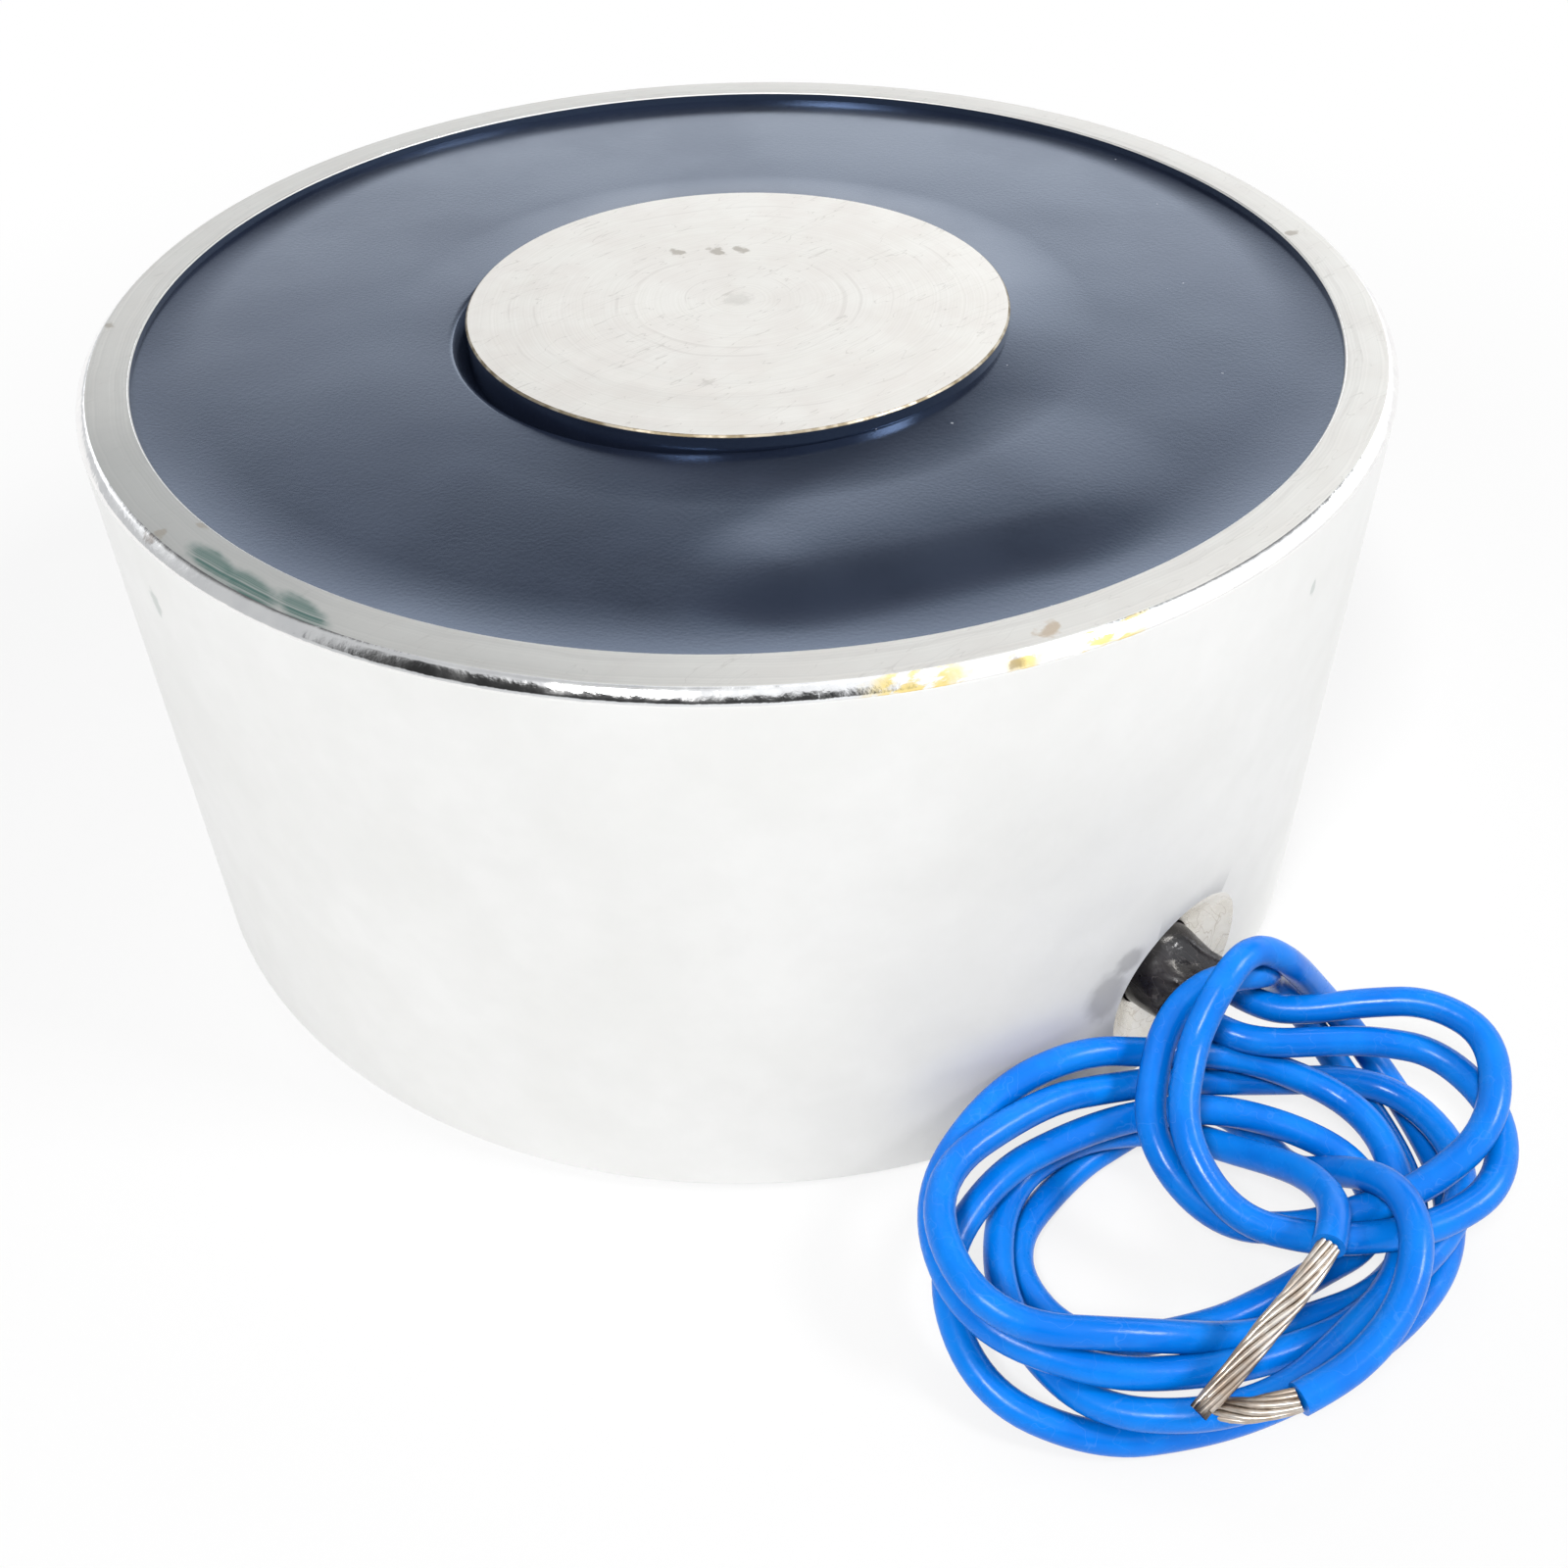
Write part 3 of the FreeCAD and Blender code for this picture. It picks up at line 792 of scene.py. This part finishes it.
def make_pot_body():
    """Base, wall, rim and core, turned from one piece and plated."""
    bore = [
        (0.0, DRILL_TIP),
        (THREAD_TIP, DRILL_DEPTH),
        (THREAD_TIP, DRILL_DEPTH - RUNOUT_START),
        (THREAD_ROOT, DRILL_DEPTH - RUNOUT_END),
        (THREAD_ROOT, THREAD_MOUTH - THREAD_ROOT),
        (THREAD_MOUTH, 0.0),
    ]
    base_edge = [(BODY_RADIUS - BASE_CHAMFER, 0.0), (BODY_RADIUS, BASE_CHAMFER)]
    wall = [(BODY_RADIUS, height) for height in WALL_RINGS]
    rim_edge = [(BODY_RADIUS, BODY_HEIGHT - RIM_CHAMFER), (BODY_RADIUS - RIM_CHAMFER, BODY_HEIGHT)]
    lip_edge = [(CHAMBER_RADIUS + LIP_EDGE, BODY_HEIGHT), (CHAMBER_RADIUS, BODY_HEIGHT - LIP_EDGE)]
    chamber = [(CHAMBER_RADIUS, BASE_THICKNESS), (CORE_RADIUS, BASE_THICKNESS)]
    core_edge = [(CORE_RADIUS, BODY_HEIGHT - CORE_EDGE), (CORE_RADIUS - CORE_EDGE, BODY_HEIGHT)]
    pole = [(FACE_RING, BODY_HEIGHT)]
    pole += [(radius, BODY_HEIGHT + rise) for radius, rise in CENTRE_MARK]
    points = bore + base_edge + wall + rim_edge + lip_edge + chamber + core_edge + pole
    shape = outline(points)
    corners = dict(zip(points, shape.verts[:]))
    soften(shape, [corners[point] for point in base_edge], BASE_SOFTNESS)
    soften(shape, [corners[point] for point in lip_edge + core_edge], EDGE_SOFTNESS)
    soften(shape, [corners[point] for point in rim_edge], RIM_SOFTNESS)
    spin_round(shape)
    for face in shape.faces:
        middle = face.calc_center_median()
        finish = pot_finish(math.hypot(middle.x, middle.y), middle.z, abs(face.normal.z))
        face.material_index = POT_FINISHES.index(finish)
    pot = finished(shape, "pot_shell", POT_FINISHES)
    cut_cable_hole(pot)
    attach(pot, "root")
    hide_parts("pot_body")


def make_mounting_thread():
    """The thread in the base, as one ridge that climbs the bore."""
    half_root = THREAD_PITCH * THREAD_ROOT_SHARE
    half_tip = THREAD_PITCH * THREAD_TIP_SHARE
    shape = bmesh.new()
    section = [
        (THREAD_ROOT + THREAD_SUNK, THREAD_START - half_root),
        (THREAD_TIP, THREAD_START - half_tip),
        (THREAD_TIP, THREAD_START + half_tip),
        (THREAD_ROOT + THREAD_SUNK, THREAD_START + half_root),
    ]
    steps = THREAD_STEPS * THREAD_TURNS
    sweep(shape, section, math.tau * THREAD_TURNS, steps, climb=THREAD_PITCH / THREAD_STEPS)
    thread = finished(shape, "mounting_thread", [DRILLED_STEEL], sharp=40.0)
    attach(thread, "root")


# Cast resin

def off_ridge(place):
    """How far a place is from the crest of the long wave in the resin, in widths of the wave."""
    start = Vector((*RIDGE_START, 0.0))
    end = Vector((*RIDGE_END, 0.0))
    share = geometry.intersect_point_line(place, start, end)[1]
    share = min(max(share, 0.0), 1.0)
    foot = start.lerp(end, share)
    inward = 0.5 - 0.5 * (place - foot).normalized().dot(foot.normalized())
    return (place - foot).length / (RIDGE_WIDTH * (1.0 + RIDGE_SPREAD * share * inward))


def resin_height(radius, angle):
    """Height of the resin's top, which climbs wall and core, is shrunk at one side and is waved."""
    share = (radius - CORE_RADIUS) / (CHAMBER_RADIUS - CORE_RADIUS)
    height = RESIN_AT_CORE + (RESIN_AT_WALL - RESIN_AT_CORE) * share
    front = 0.5 - 0.5 * math.cos(angle - math.radians(FAR_ANGLE))
    reach = WALL_REACH_FAR + (WALL_REACH_FRONT - WALL_REACH_FAR) * front
    climb = WALL_CLIMB_FAR + (WALL_CLIMB_FRONT - WALL_CLIMB_FAR) * front
    height += climb * max(0.0, 1.0 - (CHAMBER_RADIUS - radius) / reach) ** WALL_CURVE
    shrunk = (0.5 + 0.5 * math.cos(angle - math.radians(GROOVE_ANGLE))) ** GROOVE_FOCUS
    up_core = 1.0 - (radius - CORE_RADIUS) / CORE_REACH
    height += CORE_CLIMB * (1.0 - shrunk) * max(0.0, up_core) ** CORE_CURVE
    into_groove = 1.0 - (radius - CORE_RADIUS) / (GROOVE_WIDTH * max(shrunk, GROOVE_LEAST))
    height -= GROOVE_DEPTH * shrunk * max(0.0, into_groove) ** GROOVE_CURVE
    place = Vector((radius * math.cos(angle), radius * math.sin(angle), 0.0))
    for rise, fineness, shift in RESIN_WAVES:
        height += rise * noise.noise(place * fineness + Vector(shift))
    return height + RIDGE_HEIGHT * eased(1.0, 0.0, off_ridge(place))


def make_resin():
    """Cast resin: the waved cap that shows, and the skirt that fills the gap round the coil."""
    wide = CHAMBER_RADIUS - CORE_RADIUS
    shares = [(i / RESIN_RINGS) ** RESIN_SPACING for i in range(RESIN_RINGS + 1)]
    top = [(CORE_RADIUS + wide * share, RESIN_AT_CORE) for share in shares]
    inner_foot = (CORE_RADIUS, RESIN_UNDERSIDE)
    outer_foot = (CHAMBER_RADIUS, RESIN_UNDERSIDE)
    shape = outline([inner_foot] + top + [outer_foot, inner_foot])
    spin_round(shape, steps=RESIN_STEPS)
    for corner in shape.verts:
        if corner.co.z > RESIN_UNDERSIDE + 0.5:
            radius = math.hypot(corner.co.x, corner.co.y)
            corner.co.z = resin_height(radius, math.atan2(corner.co.y, corner.co.x))
    section = [
        (GAP_RADIUS, BASE_THICKNESS + SKIRT_GAP),
        (CHAMBER_RADIUS - SKIRT_GAP, BASE_THICKNESS + SKIRT_GAP),
        (CHAMBER_RADIUS - SKIRT_GAP, RESIN_UNDERSIDE - SKIRT_GAP),
        (GAP_RADIUS, RESIN_UNDERSIDE - SKIRT_GAP),
    ]
    channel = math.radians(LEAD_CHANNEL_ANGLE)
    sweep(shape, section, math.tau - 2.0 * channel, SKIRT_STEPS, first=channel)
    resin = finished(shape, "resin_ring", [CAST_RESIN], sharp=50.0)
    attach(resin, "root")
    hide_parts("potting_resin")


# Exit sleeve

def make_sleeve():
    """Soft black sleeve, crumpled and pinched round the leads where it ends."""
    shoulder = SLEEVE_END - SLEEVE_SHOULDER
    profile = [(SLEEVE_START, 0.0), (SLEEVE_START, SLEEVE_RADIUS)]
    for i in range(1, SLEEVE_RUNS + 1):
        x = SLEEVE_START + (shoulder - SLEEVE_START) * i / SLEEVE_RUNS
        profile.append((x, SLEEVE_RADIUS - SLEEVE_TAPER))
    profile += [(SLEEVE_END - back, SLEEVE_RADIUS - inset) for back, inset in SLEEVE_TIP]
    profile += [(SLEEVE_END - back, radius) for back, radius in SLEEVE_MOUTH]
    shape = outline([(x, CABLE_HEIGHT + radius) for x, radius in profile])
    spin_round(shape, axis=(1.0, 0.0, 0.0), middle=(0.0, 0.0, CABLE_HEIGHT), steps=SLEEVE_STEPS)
    for corner in shape.verts:
        free = eased(0.0, 1.0, (corner.co.x - BODY_RADIUS + FREE_START) / FREE_REACH)
        arm = Vector((0.0, corner.co.y, corner.co.z - CABLE_HEIGHT))
        fold = noise.voronoi(corner.co * FOLD_FINENESS + Vector(FOLD_SHIFT))[0]
        dent = DENT_DEPTH * noise.noise(corner.co * DENT_FINENESS)
        crumple = FOLD_DEPTH * (fold[1] - fold[0]) - FOLD_LEVEL + dent
        pinch = PINCH * arm.z * arm.z / (SLEEVE_RADIUS * SLEEVE_RADIUS)
        pleat = PLEAT_DEPTH * math.cos(PLEATS * math.atan2(arm.z, arm.y) + PLEAT_TWIST * corner.co.x)
        arm *= 1.0 + free * (CRUMPLE_ACROSS * crumple + pleat - pinch)
        corner.co.y = arm.y
        corner.co.z = CABLE_HEIGHT + arm.z
        corner.co.x += CRUMPLE_ALONG * free * crumple
    sleeve = finished(shape, "crumpled_sleeve", [BLACK_SLEEVE], sharp=38.0)
    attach(sleeve, "root")
    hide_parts("exit_sleeve")
    return sleeve


# Leads
SQUARENESS = 2.4
STEP_ANGLE = 30.0


def turn_points(middle, half_long, half_short, heading, first, last, heights):
    """Points of one loose turn of the hank.

    The angles are in degrees and go from the far end over the front.
    The heights are spread evenly along the turn.
    """
    steps = round((last - first) / STEP_ANGLE)
    lengthwise = Vector((math.cos(math.radians(heading)), math.sin(math.radians(heading)), 0.0))
    across = Vector((lengthwise.y, -lengthwise.x, 0.0))
    points = []
    for i in range(steps + 1):
        angle = math.radians(first + (last - first) * i / steps)
        long_share = abs(math.cos(angle) / half_long) ** SQUARENESS
        short_share = abs(math.sin(angle) / half_short) ** SQUARENESS
        reach = (long_share + short_share) ** (-1.0 / SQUARENESS)
        arm = lengthwise * math.cos(angle) + across * math.sin(angle)
        point = Vector((*middle, 0.0)) + reach * arm
        station = (len(heights) - 1) * i / steps
        before = min(int(station), len(heights) - 2)
        point.z = eased(heights[before], heights[before + 1], station - before)
        points.append(tuple(point))
    return points


ROUTE_A = [
    (42.5, 1.6, 7.5), (44.7, 1.7, 7.5), (46.9, 3.0, 8.0), (49.2, 5.2, 9.0), (52.2, 7.4, 10.0),
    *turn_points((51.2, -1.6), 10.5, 6.4, 62.0, 0.0, 210.0, (9.8, 6.4, 4.7, 9.0)),
    (42.7, -4.2, 10.3), (43.0, -2.4, 11.1), (43.7, -0.7, 11.2), (44.3, 0.9, 10.7), (44.3, 2.5, 9.7),
    (43.6, 3.9, 7.8), (44.0, 5.6, 5.4), (45.8, 6.6, 3.2), (49.0, 6.1, 1.5), (52.8, 4.8, 0.9),
    (56.2, 2.6, 0.9), (58.8, -0.8, 0.9),
    *turn_points((50.0, -9.5), 18.0, 7.5, 68.0, 45.0, 375.0, (1.3, 2.6, 6.8, 8.2, 6.2, 3.2, 3.1)),
    *turn_points((49.3, -11.5), 14.5, 9.1, 63.0, 45.0, 345.0, (2.9, 3.6, 4.6, 5.6, 8.8, 6.6, 4.6)),
    (57.6, -1.4, 4.9), (60.2, -5.8, 4.6),
    *turn_points((50.8, -13.5), 9.5, 9.3, 61.0, 45.0, 255.0, (4.8, 3.8, 2.4, 2.4, 3.0)),
    (44.0, -7.7, 3.2), (46.2, -6.2, 3.5), (48.8, -5.6, 4.2), (51.2, -5.4, 5.4), (53.4, -5.6, 6.6),
    (55.3, -6.5, 7.6), (56.6, -8.0, 8.3), (57.4, -9.9, 8.5),
]
ROUTE_B = [
    (42.5, -1.6, 7.5), (44.7, -1.5, 7.5), (46.9, -0.1, 7.5), (48.8, 2.1, 7.6), (51.0, 4.5, 7.7),
    (54.0, 6.5, 7.6),
    *turn_points((53.1, -2.2), 9.5, 6.4, 55.0, 0.0, 210.0, (7.2, 6.2, 6.3, 10.2)),
    (44.6, -4.2, 11.6), (44.3, -2.4, 12.8), (44.1, -0.6, 13.2), (44.3, 1.0, 12.8), (44.9, 2.4, 11.6),
    (45.3, 3.9, 9.8), (45.6, 5.5, 7.6), (46.1, 7.0, 5.4), (47.8, 8.0, 3.3), (50.8, 7.8, 1.6),
    (54.4, 6.4, 0.9), (57.9, 4.0, 0.9), (60.4, 0.2, 0.9), (61.2, -4.4, 0.9),
    *turn_points((50.8, -13.8), 13.0, 8.3, 65.0, 45.0, 345.0, (0.9, 0.9, 0.9, 3.6, 5.2, 5.6, 4.7)),
    (56.2, -1.4, 3.0), (57.2, -3.7, 2.0),
    *turn_points((49.5, -7.0), 14.5, 6.5, 78.0, 75.0, 255.0, (1.2, 1.4, 1.0, 1.0)),
    (43.7, -3.8, 1.6), (45.9, -2.0, 2.0), (48.9, -2.3, 2.1), (51.8, -3.4, 2.9), (54.5, -3.6, 6.2),
    (57.2, -3.9, 8.3), (59.5, -5.2, 8.7), (61.0, -7.2, 8.1), (61.8, -9.6, 7.2), (61.9, -12.0, 6.6),
    (61.6, -14.4, 6.2), (60.9, -16.6, 5.9),
]
BARE_A = [
    (57.4, -9.9, 8.5), (57.8, -12.4, 8.1), (57.8, -15.0, 7.2), (57.9, -17.8, 6.1), (57.8, -20.4, 5.0),
]
BARE_B = [(60.9, -16.6, 5.9), (60.0, -17.9, 5.3), (58.7, -18.9, 4.5), (57.4, -19.5, 3.8)]

LINE_STEPS = 10
LEAD_ROUNDNESS = 7


def new_curve(name, radius, roundness):
    """An empty round curve with a radius in millimetres."""
    curve = bpy.data.curves.new(name, "CURVE")
    curve.dimensions = "3D"
    curve.bevel_depth = radius * MM
    curve.bevel_resolution = roundness
    curve.use_fill_caps = True
    return curve


def add_spline(curve, places, thickness=1.0):
    """Adds one smooth open spline with its points at places in metres."""
    spline = curve.splines.new("NURBS")
    spline.points.add(len(places) - 1)
    for control, place in zip(spline.points, places):
        control.co = (*place, 1.0)
        control.radius = thickness
    spline.order_u = 3
    spline.use_endpoint_u = True


def smooth_curve(name, points, radius=0.0):
    """A curve of one spline along a route in millimetres."""
    curve = new_curve(name, radius, LEAD_ROUNDNESS)
    curve.resolution_u = LINE_STEPS
    add_spline(curve, [Vector(point) * MM for point in points])
    piece = bpy.data.objects.new(name, curve)
    bpy.context.scene.collection.objects.link(piece)
    return piece


def line_of(points):
    """Points in metres along the smooth line of a route."""
    guide = smooth_curve("guide", points)
    line = as_mesh(guide)
    places = [corner.co.copy() for corner in line.vertices]
    bpy.data.meshes.remove(line)
    bpy.data.objects.remove(guide)
    return places


STRAND_RADIUS = 0.165
STRAND_ROUNDNESS = 3
STRAND_SPREAD = 0.46
STRAND_SWELL = 0.06
STRAND_TAPER = 0.05
STRAND_LOOSENESS = 0.10
STRANDS_OUTSIDE = 9
TWIST_PITCH = 18.0
CORE_SHARE = 2.2


def make_bare_end(name, node, points):
    """Stripped end of a lead: a core of wire with strands twisted round it."""
    places = line_of(points)
    reach = sum((after - before).length for before, after in zip(places, places[1:])) / MM
    side = Vector((0.0, 0.0, 1.0))
    rows = [[] for strand in range(STRANDS_OUTSIDE + 1)]
    for i, place in enumerate(places):
        ahead = (places[min(i + 1, len(places) - 1)] - places[max(i - 1, 0)]).normalized()
        side = (side - ahead * side.dot(ahead)).normalized()
        other = ahead.cross(side)
        share = i / (len(places) - 1)
        spread = STRAND_SPREAD + STRAND_SWELL * math.sin(math.pi * share) - STRAND_TAPER * share
        for strand in range(STRANDS_OUTSIDE):
            angle = math.tau * (strand / STRANDS_OUTSIDE + share * reach / TWIST_PITCH)
            stray = noise.noise(Vector((strand * 3.7, share * 2.2, 1.9)))
            loose = spread * (1.0 + STRAND_LOOSENESS * stray)
            rows[strand].append(place + (side * math.cos(angle) + other * math.sin(angle)) * loose * MM)
        rows[-1].append(place)
    curve = new_curve(name, STRAND_RADIUS, STRAND_ROUNDNESS)
    for number, row in enumerate(rows):
        last = len(row) - (number * 5) % 3
        add_spline(curve, row[:last], CORE_SHARE if number == STRANDS_OUTSIDE else 1.0)
    bare = bpy.data.objects.new(name, curve)
    bpy.context.scene.collection.objects.link(bare)
    curve.materials.append(TINNED_STRAND)
    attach(bare, "root")
    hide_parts(node)
    return bare


def make_lead(name, route, solids):
    """One blue lead, from the sleeve through the hank to the end of its jacket."""
    piece = smooth_curve(name, route, LEAD_RADIUS)
    piece.data.materials.append(LEAD_JACKET)
    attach(piece, "root")
    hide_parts(*solids)


# Carried-over solids inside the pot

def dress_inner_solids():
    """Finishes for the coil and its joints, which stay as they are in the solids."""
    finishes = {
        "coil_bobbin": BOBBIN_NYLON,
        "coil_winding": COIL_COPPER,
        "coil_tape": COIL_TAPE,
        "coil_tail_a": COIL_COPPER,
        "coil_tail_b": COIL_COPPER,
        "splice_sleeve_a": BLACK_SLEEVE,
        "splice_sleeve_b": BLACK_SLEEVE,
        "lead_inner_a": LEAD_JACKET,
        "lead_inner_b": LEAD_JACKET,
    }
    for node, finish in finishes.items():
        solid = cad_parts[node]
        for slot in solid.material_slots:
            slot.material = finish


# Stage: white floor, light tent, lamps and camera
WHITE = (1.0, 1.0, 1.0, 1.0)
FLOOR_RADIUS = 1500.0
FLOOR_COLOUR = (0.82, 0.82, 0.82, 1.0)
FLOOR_GLOW_REACH = (70.0, 150.0)
FLOOR_GLOW = (0.8, 1.0)
WORLD_LIGHT = 0.27
STAGE_STEPS = 96


def stage_finish(name):
    """A material for the stage, with no nodes yet."""
    finish = bpy.data.materials.new(name)
    finish.use_nodes = True
    finish.node_tree.nodes.clear()
    return finish, finish.node_tree


def background_rays(tree):
    """One for rays that see the background as such, nought for rays that only bring light."""
    path = put(tree, "ShaderNodeLightPath").outputs
    seen = count(tree, "MAXIMUM", path["Is Camera Ray"], path["Is Glossy Ray"])
    return count(tree, "MAXIMUM", seen, path["Is Transmission Ray"])


def make_floor():
    """A plain white floor that keeps the object's shadow and is clear from below."""
    finish, tree = stage_finish("white floor")
    paper = put(tree, "ShaderNodeBsdfDiffuse", {"Color": FLOOR_COLOUR}).outputs[0]
    glow = put(tree, "ShaderNodeEmission", {"Color": WHITE, "Strength": 1.0}).outputs[0]
    outward = ranged(tree, size_of(tree, millimetres(tree)), *FLOOR_GLOW_REACH, *FLOOR_GLOW)
    share = times(tree, background_rays(tree), outward)
    lit = put(tree, "ShaderNodeMixShader", {0: share, 1: paper, 2: glow}).outputs[0]
    clear = put(tree, "ShaderNodeBsdfTransparent").outputs[0]
    below = put(tree, "ShaderNodeNewGeometry").outputs["Backfacing"]
    sided = put(tree, "ShaderNodeMixShader", {0: below, 1: lit, 2: clear}).outputs[0]
    put(tree, "ShaderNodeOutputMaterial", {"Surface": sided})
    shape = bmesh.new()
    bmesh.ops.create_circle(shape, cap_ends=True, segments=STAGE_STEPS, radius=FLOOR_RADIUS)
    floor = finished(shape, "floor", [finish])


TENT_RADIUS = 1400.0
FAR_WAY = (-0.766, 0.643, 0.0)
NEAR_WAY = (0.423, -0.906, 0.0)
TENT_COLOUR = (0.95, 0.975, 1.0, 1.0)
TENT_LEAN = 0.4
FAR_EDGES = (0.1, 0.6)
NEAR_EDGES = (0.60, 0.80)
GAP_RISE = ((0.47, 0.61), (0.86, 0.80))
GAP_DARKNESS = 0.78
FIGURE_RISE = ((0.30, 0.42), (0.80, 0.72))
FIGURE_DARKNESS = 0.95
BAND_RISE = ((0.22, 0.30), (0.51, 0.38))
BAND_GLOW = 1.1


def make_tent():
    """A light tent for reflections: white, with a bright band, a dark gap and a dark figure."""
    finish, tree = stage_finish("tent cloth")
    place = millimetres(tree)
    rise = along(tree, move(tree, "NORMALIZE", place), (0.0, 0.0, 1.0))
    level_way = move(tree, "NORMALIZE", level_part(tree, place))
    far = ranged(tree, along(tree, level_way, FAR_WAY), *FAR_EDGES)
    near = ranged(tree, along(tree, level_way, NEAR_WAY), *NEAR_EDGES)
    gap = times(tree, times(tree, far, between(tree, rise, *GAP_RISE)), GAP_DARKNESS)
    figure = times(tree, times(tree, near, between(tree, rise, *FIGURE_RISE)), FIGURE_DARKNESS)
    band = times(tree, times(tree, far, between(tree, rise, *BAND_RISE)), BAND_GLOW)
    level = count(tree, "SUBTRACT", count(tree, "ADD", band, 1.0), count(tree, "ADD", gap, figure))
    lean = times(tree, along(tree, level_way, RIGHT_WAY), TENT_LEAN)
    level = times(tree, level, count(tree, "ADD", lean, 1.0))
    glow = put(tree, "ShaderNodeEmission", {"Color": TENT_COLOUR, "Strength": level}).outputs[0]
    put(tree, "ShaderNodeOutputMaterial", {"Surface": glow})
    angles = [math.radians(2.0 * i) for i in range(1, 45)]
    arc = [(TENT_RADIUS * math.cos(angle), TENT_RADIUS * math.sin(angle)) for angle in angles]
    shape = outline(arc + [(0.0, TENT_RADIUS)])
    spin_round(shape, steps=STAGE_STEPS)
    tent = finished(shape, "light_tent", [finish])
    tent.visible_camera = False
    tent.visible_diffuse = False
    tent.visible_transmission = False
    tent.visible_shadow = False
    tent.visible_volume_scatter = False


def make_world():
    """White surroundings that also give part of the light."""
    world = bpy.data.worlds.new("white tent")
    bpy.context.scene.world = world
    world.use_nodes = True
    tree = world.node_tree
    strength = count(tree, "MAXIMUM", background_rays(tree), WORLD_LIGHT)
    surround = tree.nodes["Background"]
    surround.inputs["Color"].default_value = WHITE
    tree.links.new(strength, surround.inputs["Strength"])


# Each lamp has its place and width in metres and its power in watts
LAMPS = {
    "soft_key": ((0.2, -0.5, 0.75), 0.14, 5.0),
    "soft_fill": ((0.55, 0.35, 0.65), 0.2, 3.5),
    "small_glint": ((-0.10, 0.30, 0.55), 0.06, 0.12),
}


def make_lamp(name, place, width, power):
    """A square soft lamp that faces the object."""
    light = bpy.data.lights.new(name, "AREA")
    light.size = width
    light.energy = power
    lamp = bpy.data.objects.new(name, light)
    lamp.location = place
    lamp.rotation_euler = (-Vector(place)).to_track_quat("-Z", "Y").to_euler()
    bpy.context.scene.collection.objects.link(lamp)


CAMERA_PLACE = (0.07615, -0.06277, 0.08441)
CAMERA_TILT = 48.57
CAMERA_HEADING = 49.22
CAMERA_ROLL = -1.29
CAMERA_LENS = 38.295
SENSOR_WIDTH = 36.0
NEAREST_SEEN = 0.005


def make_camera():
    """The photograph's view: a near, wide look down at the pole face."""
    lens = bpy.data.cameras.new("photo view")
    lens.lens = CAMERA_LENS
    lens.sensor_width = SENSOR_WIDTH
    lens.sensor_fit = "HORIZONTAL"
    lens.clip_start = NEAREST_SEEN
    camera = bpy.data.objects.new("photo_camera", lens)
    turn = Euler((math.radians(CAMERA_TILT), 0.0, math.radians(CAMERA_HEADING)), "XYZ").to_matrix()
    roll = Matrix.Rotation(math.radians(CAMERA_ROLL), 3, "Z")
    camera.matrix_world = Matrix.Translation(CAMERA_PLACE) @ (turn @ roll).to_4x4()
    bpy.context.scene.collection.objects.link(camera)
    bpy.context.scene.camera = camera


bpy.context.scene.view_settings.view_transform = "Standard"
make_camera()
make_world()
make_floor()
make_tent()
for lamp_name, lamp_values in LAMPS.items():
    make_lamp(lamp_name, *lamp_values)

make_pot_body()
make_mounting_thread()
make_resin()
sleeve = make_sleeve()
bare_a = make_bare_end("bare_strands_a", "bare_end_a", BARE_A)
bare_b = make_bare_end("bare_strands_b", "bare_end_b", BARE_B)
solids_a = ["lead_start_a", "lead_hank", "lead_end_a"]
make_lead("blue_lead_a", ROUTE_A, solids_a)
make_lead("blue_lead_b", ROUTE_B, ["lead_start_b", "lead_end_b"])
dress_inner_solids()
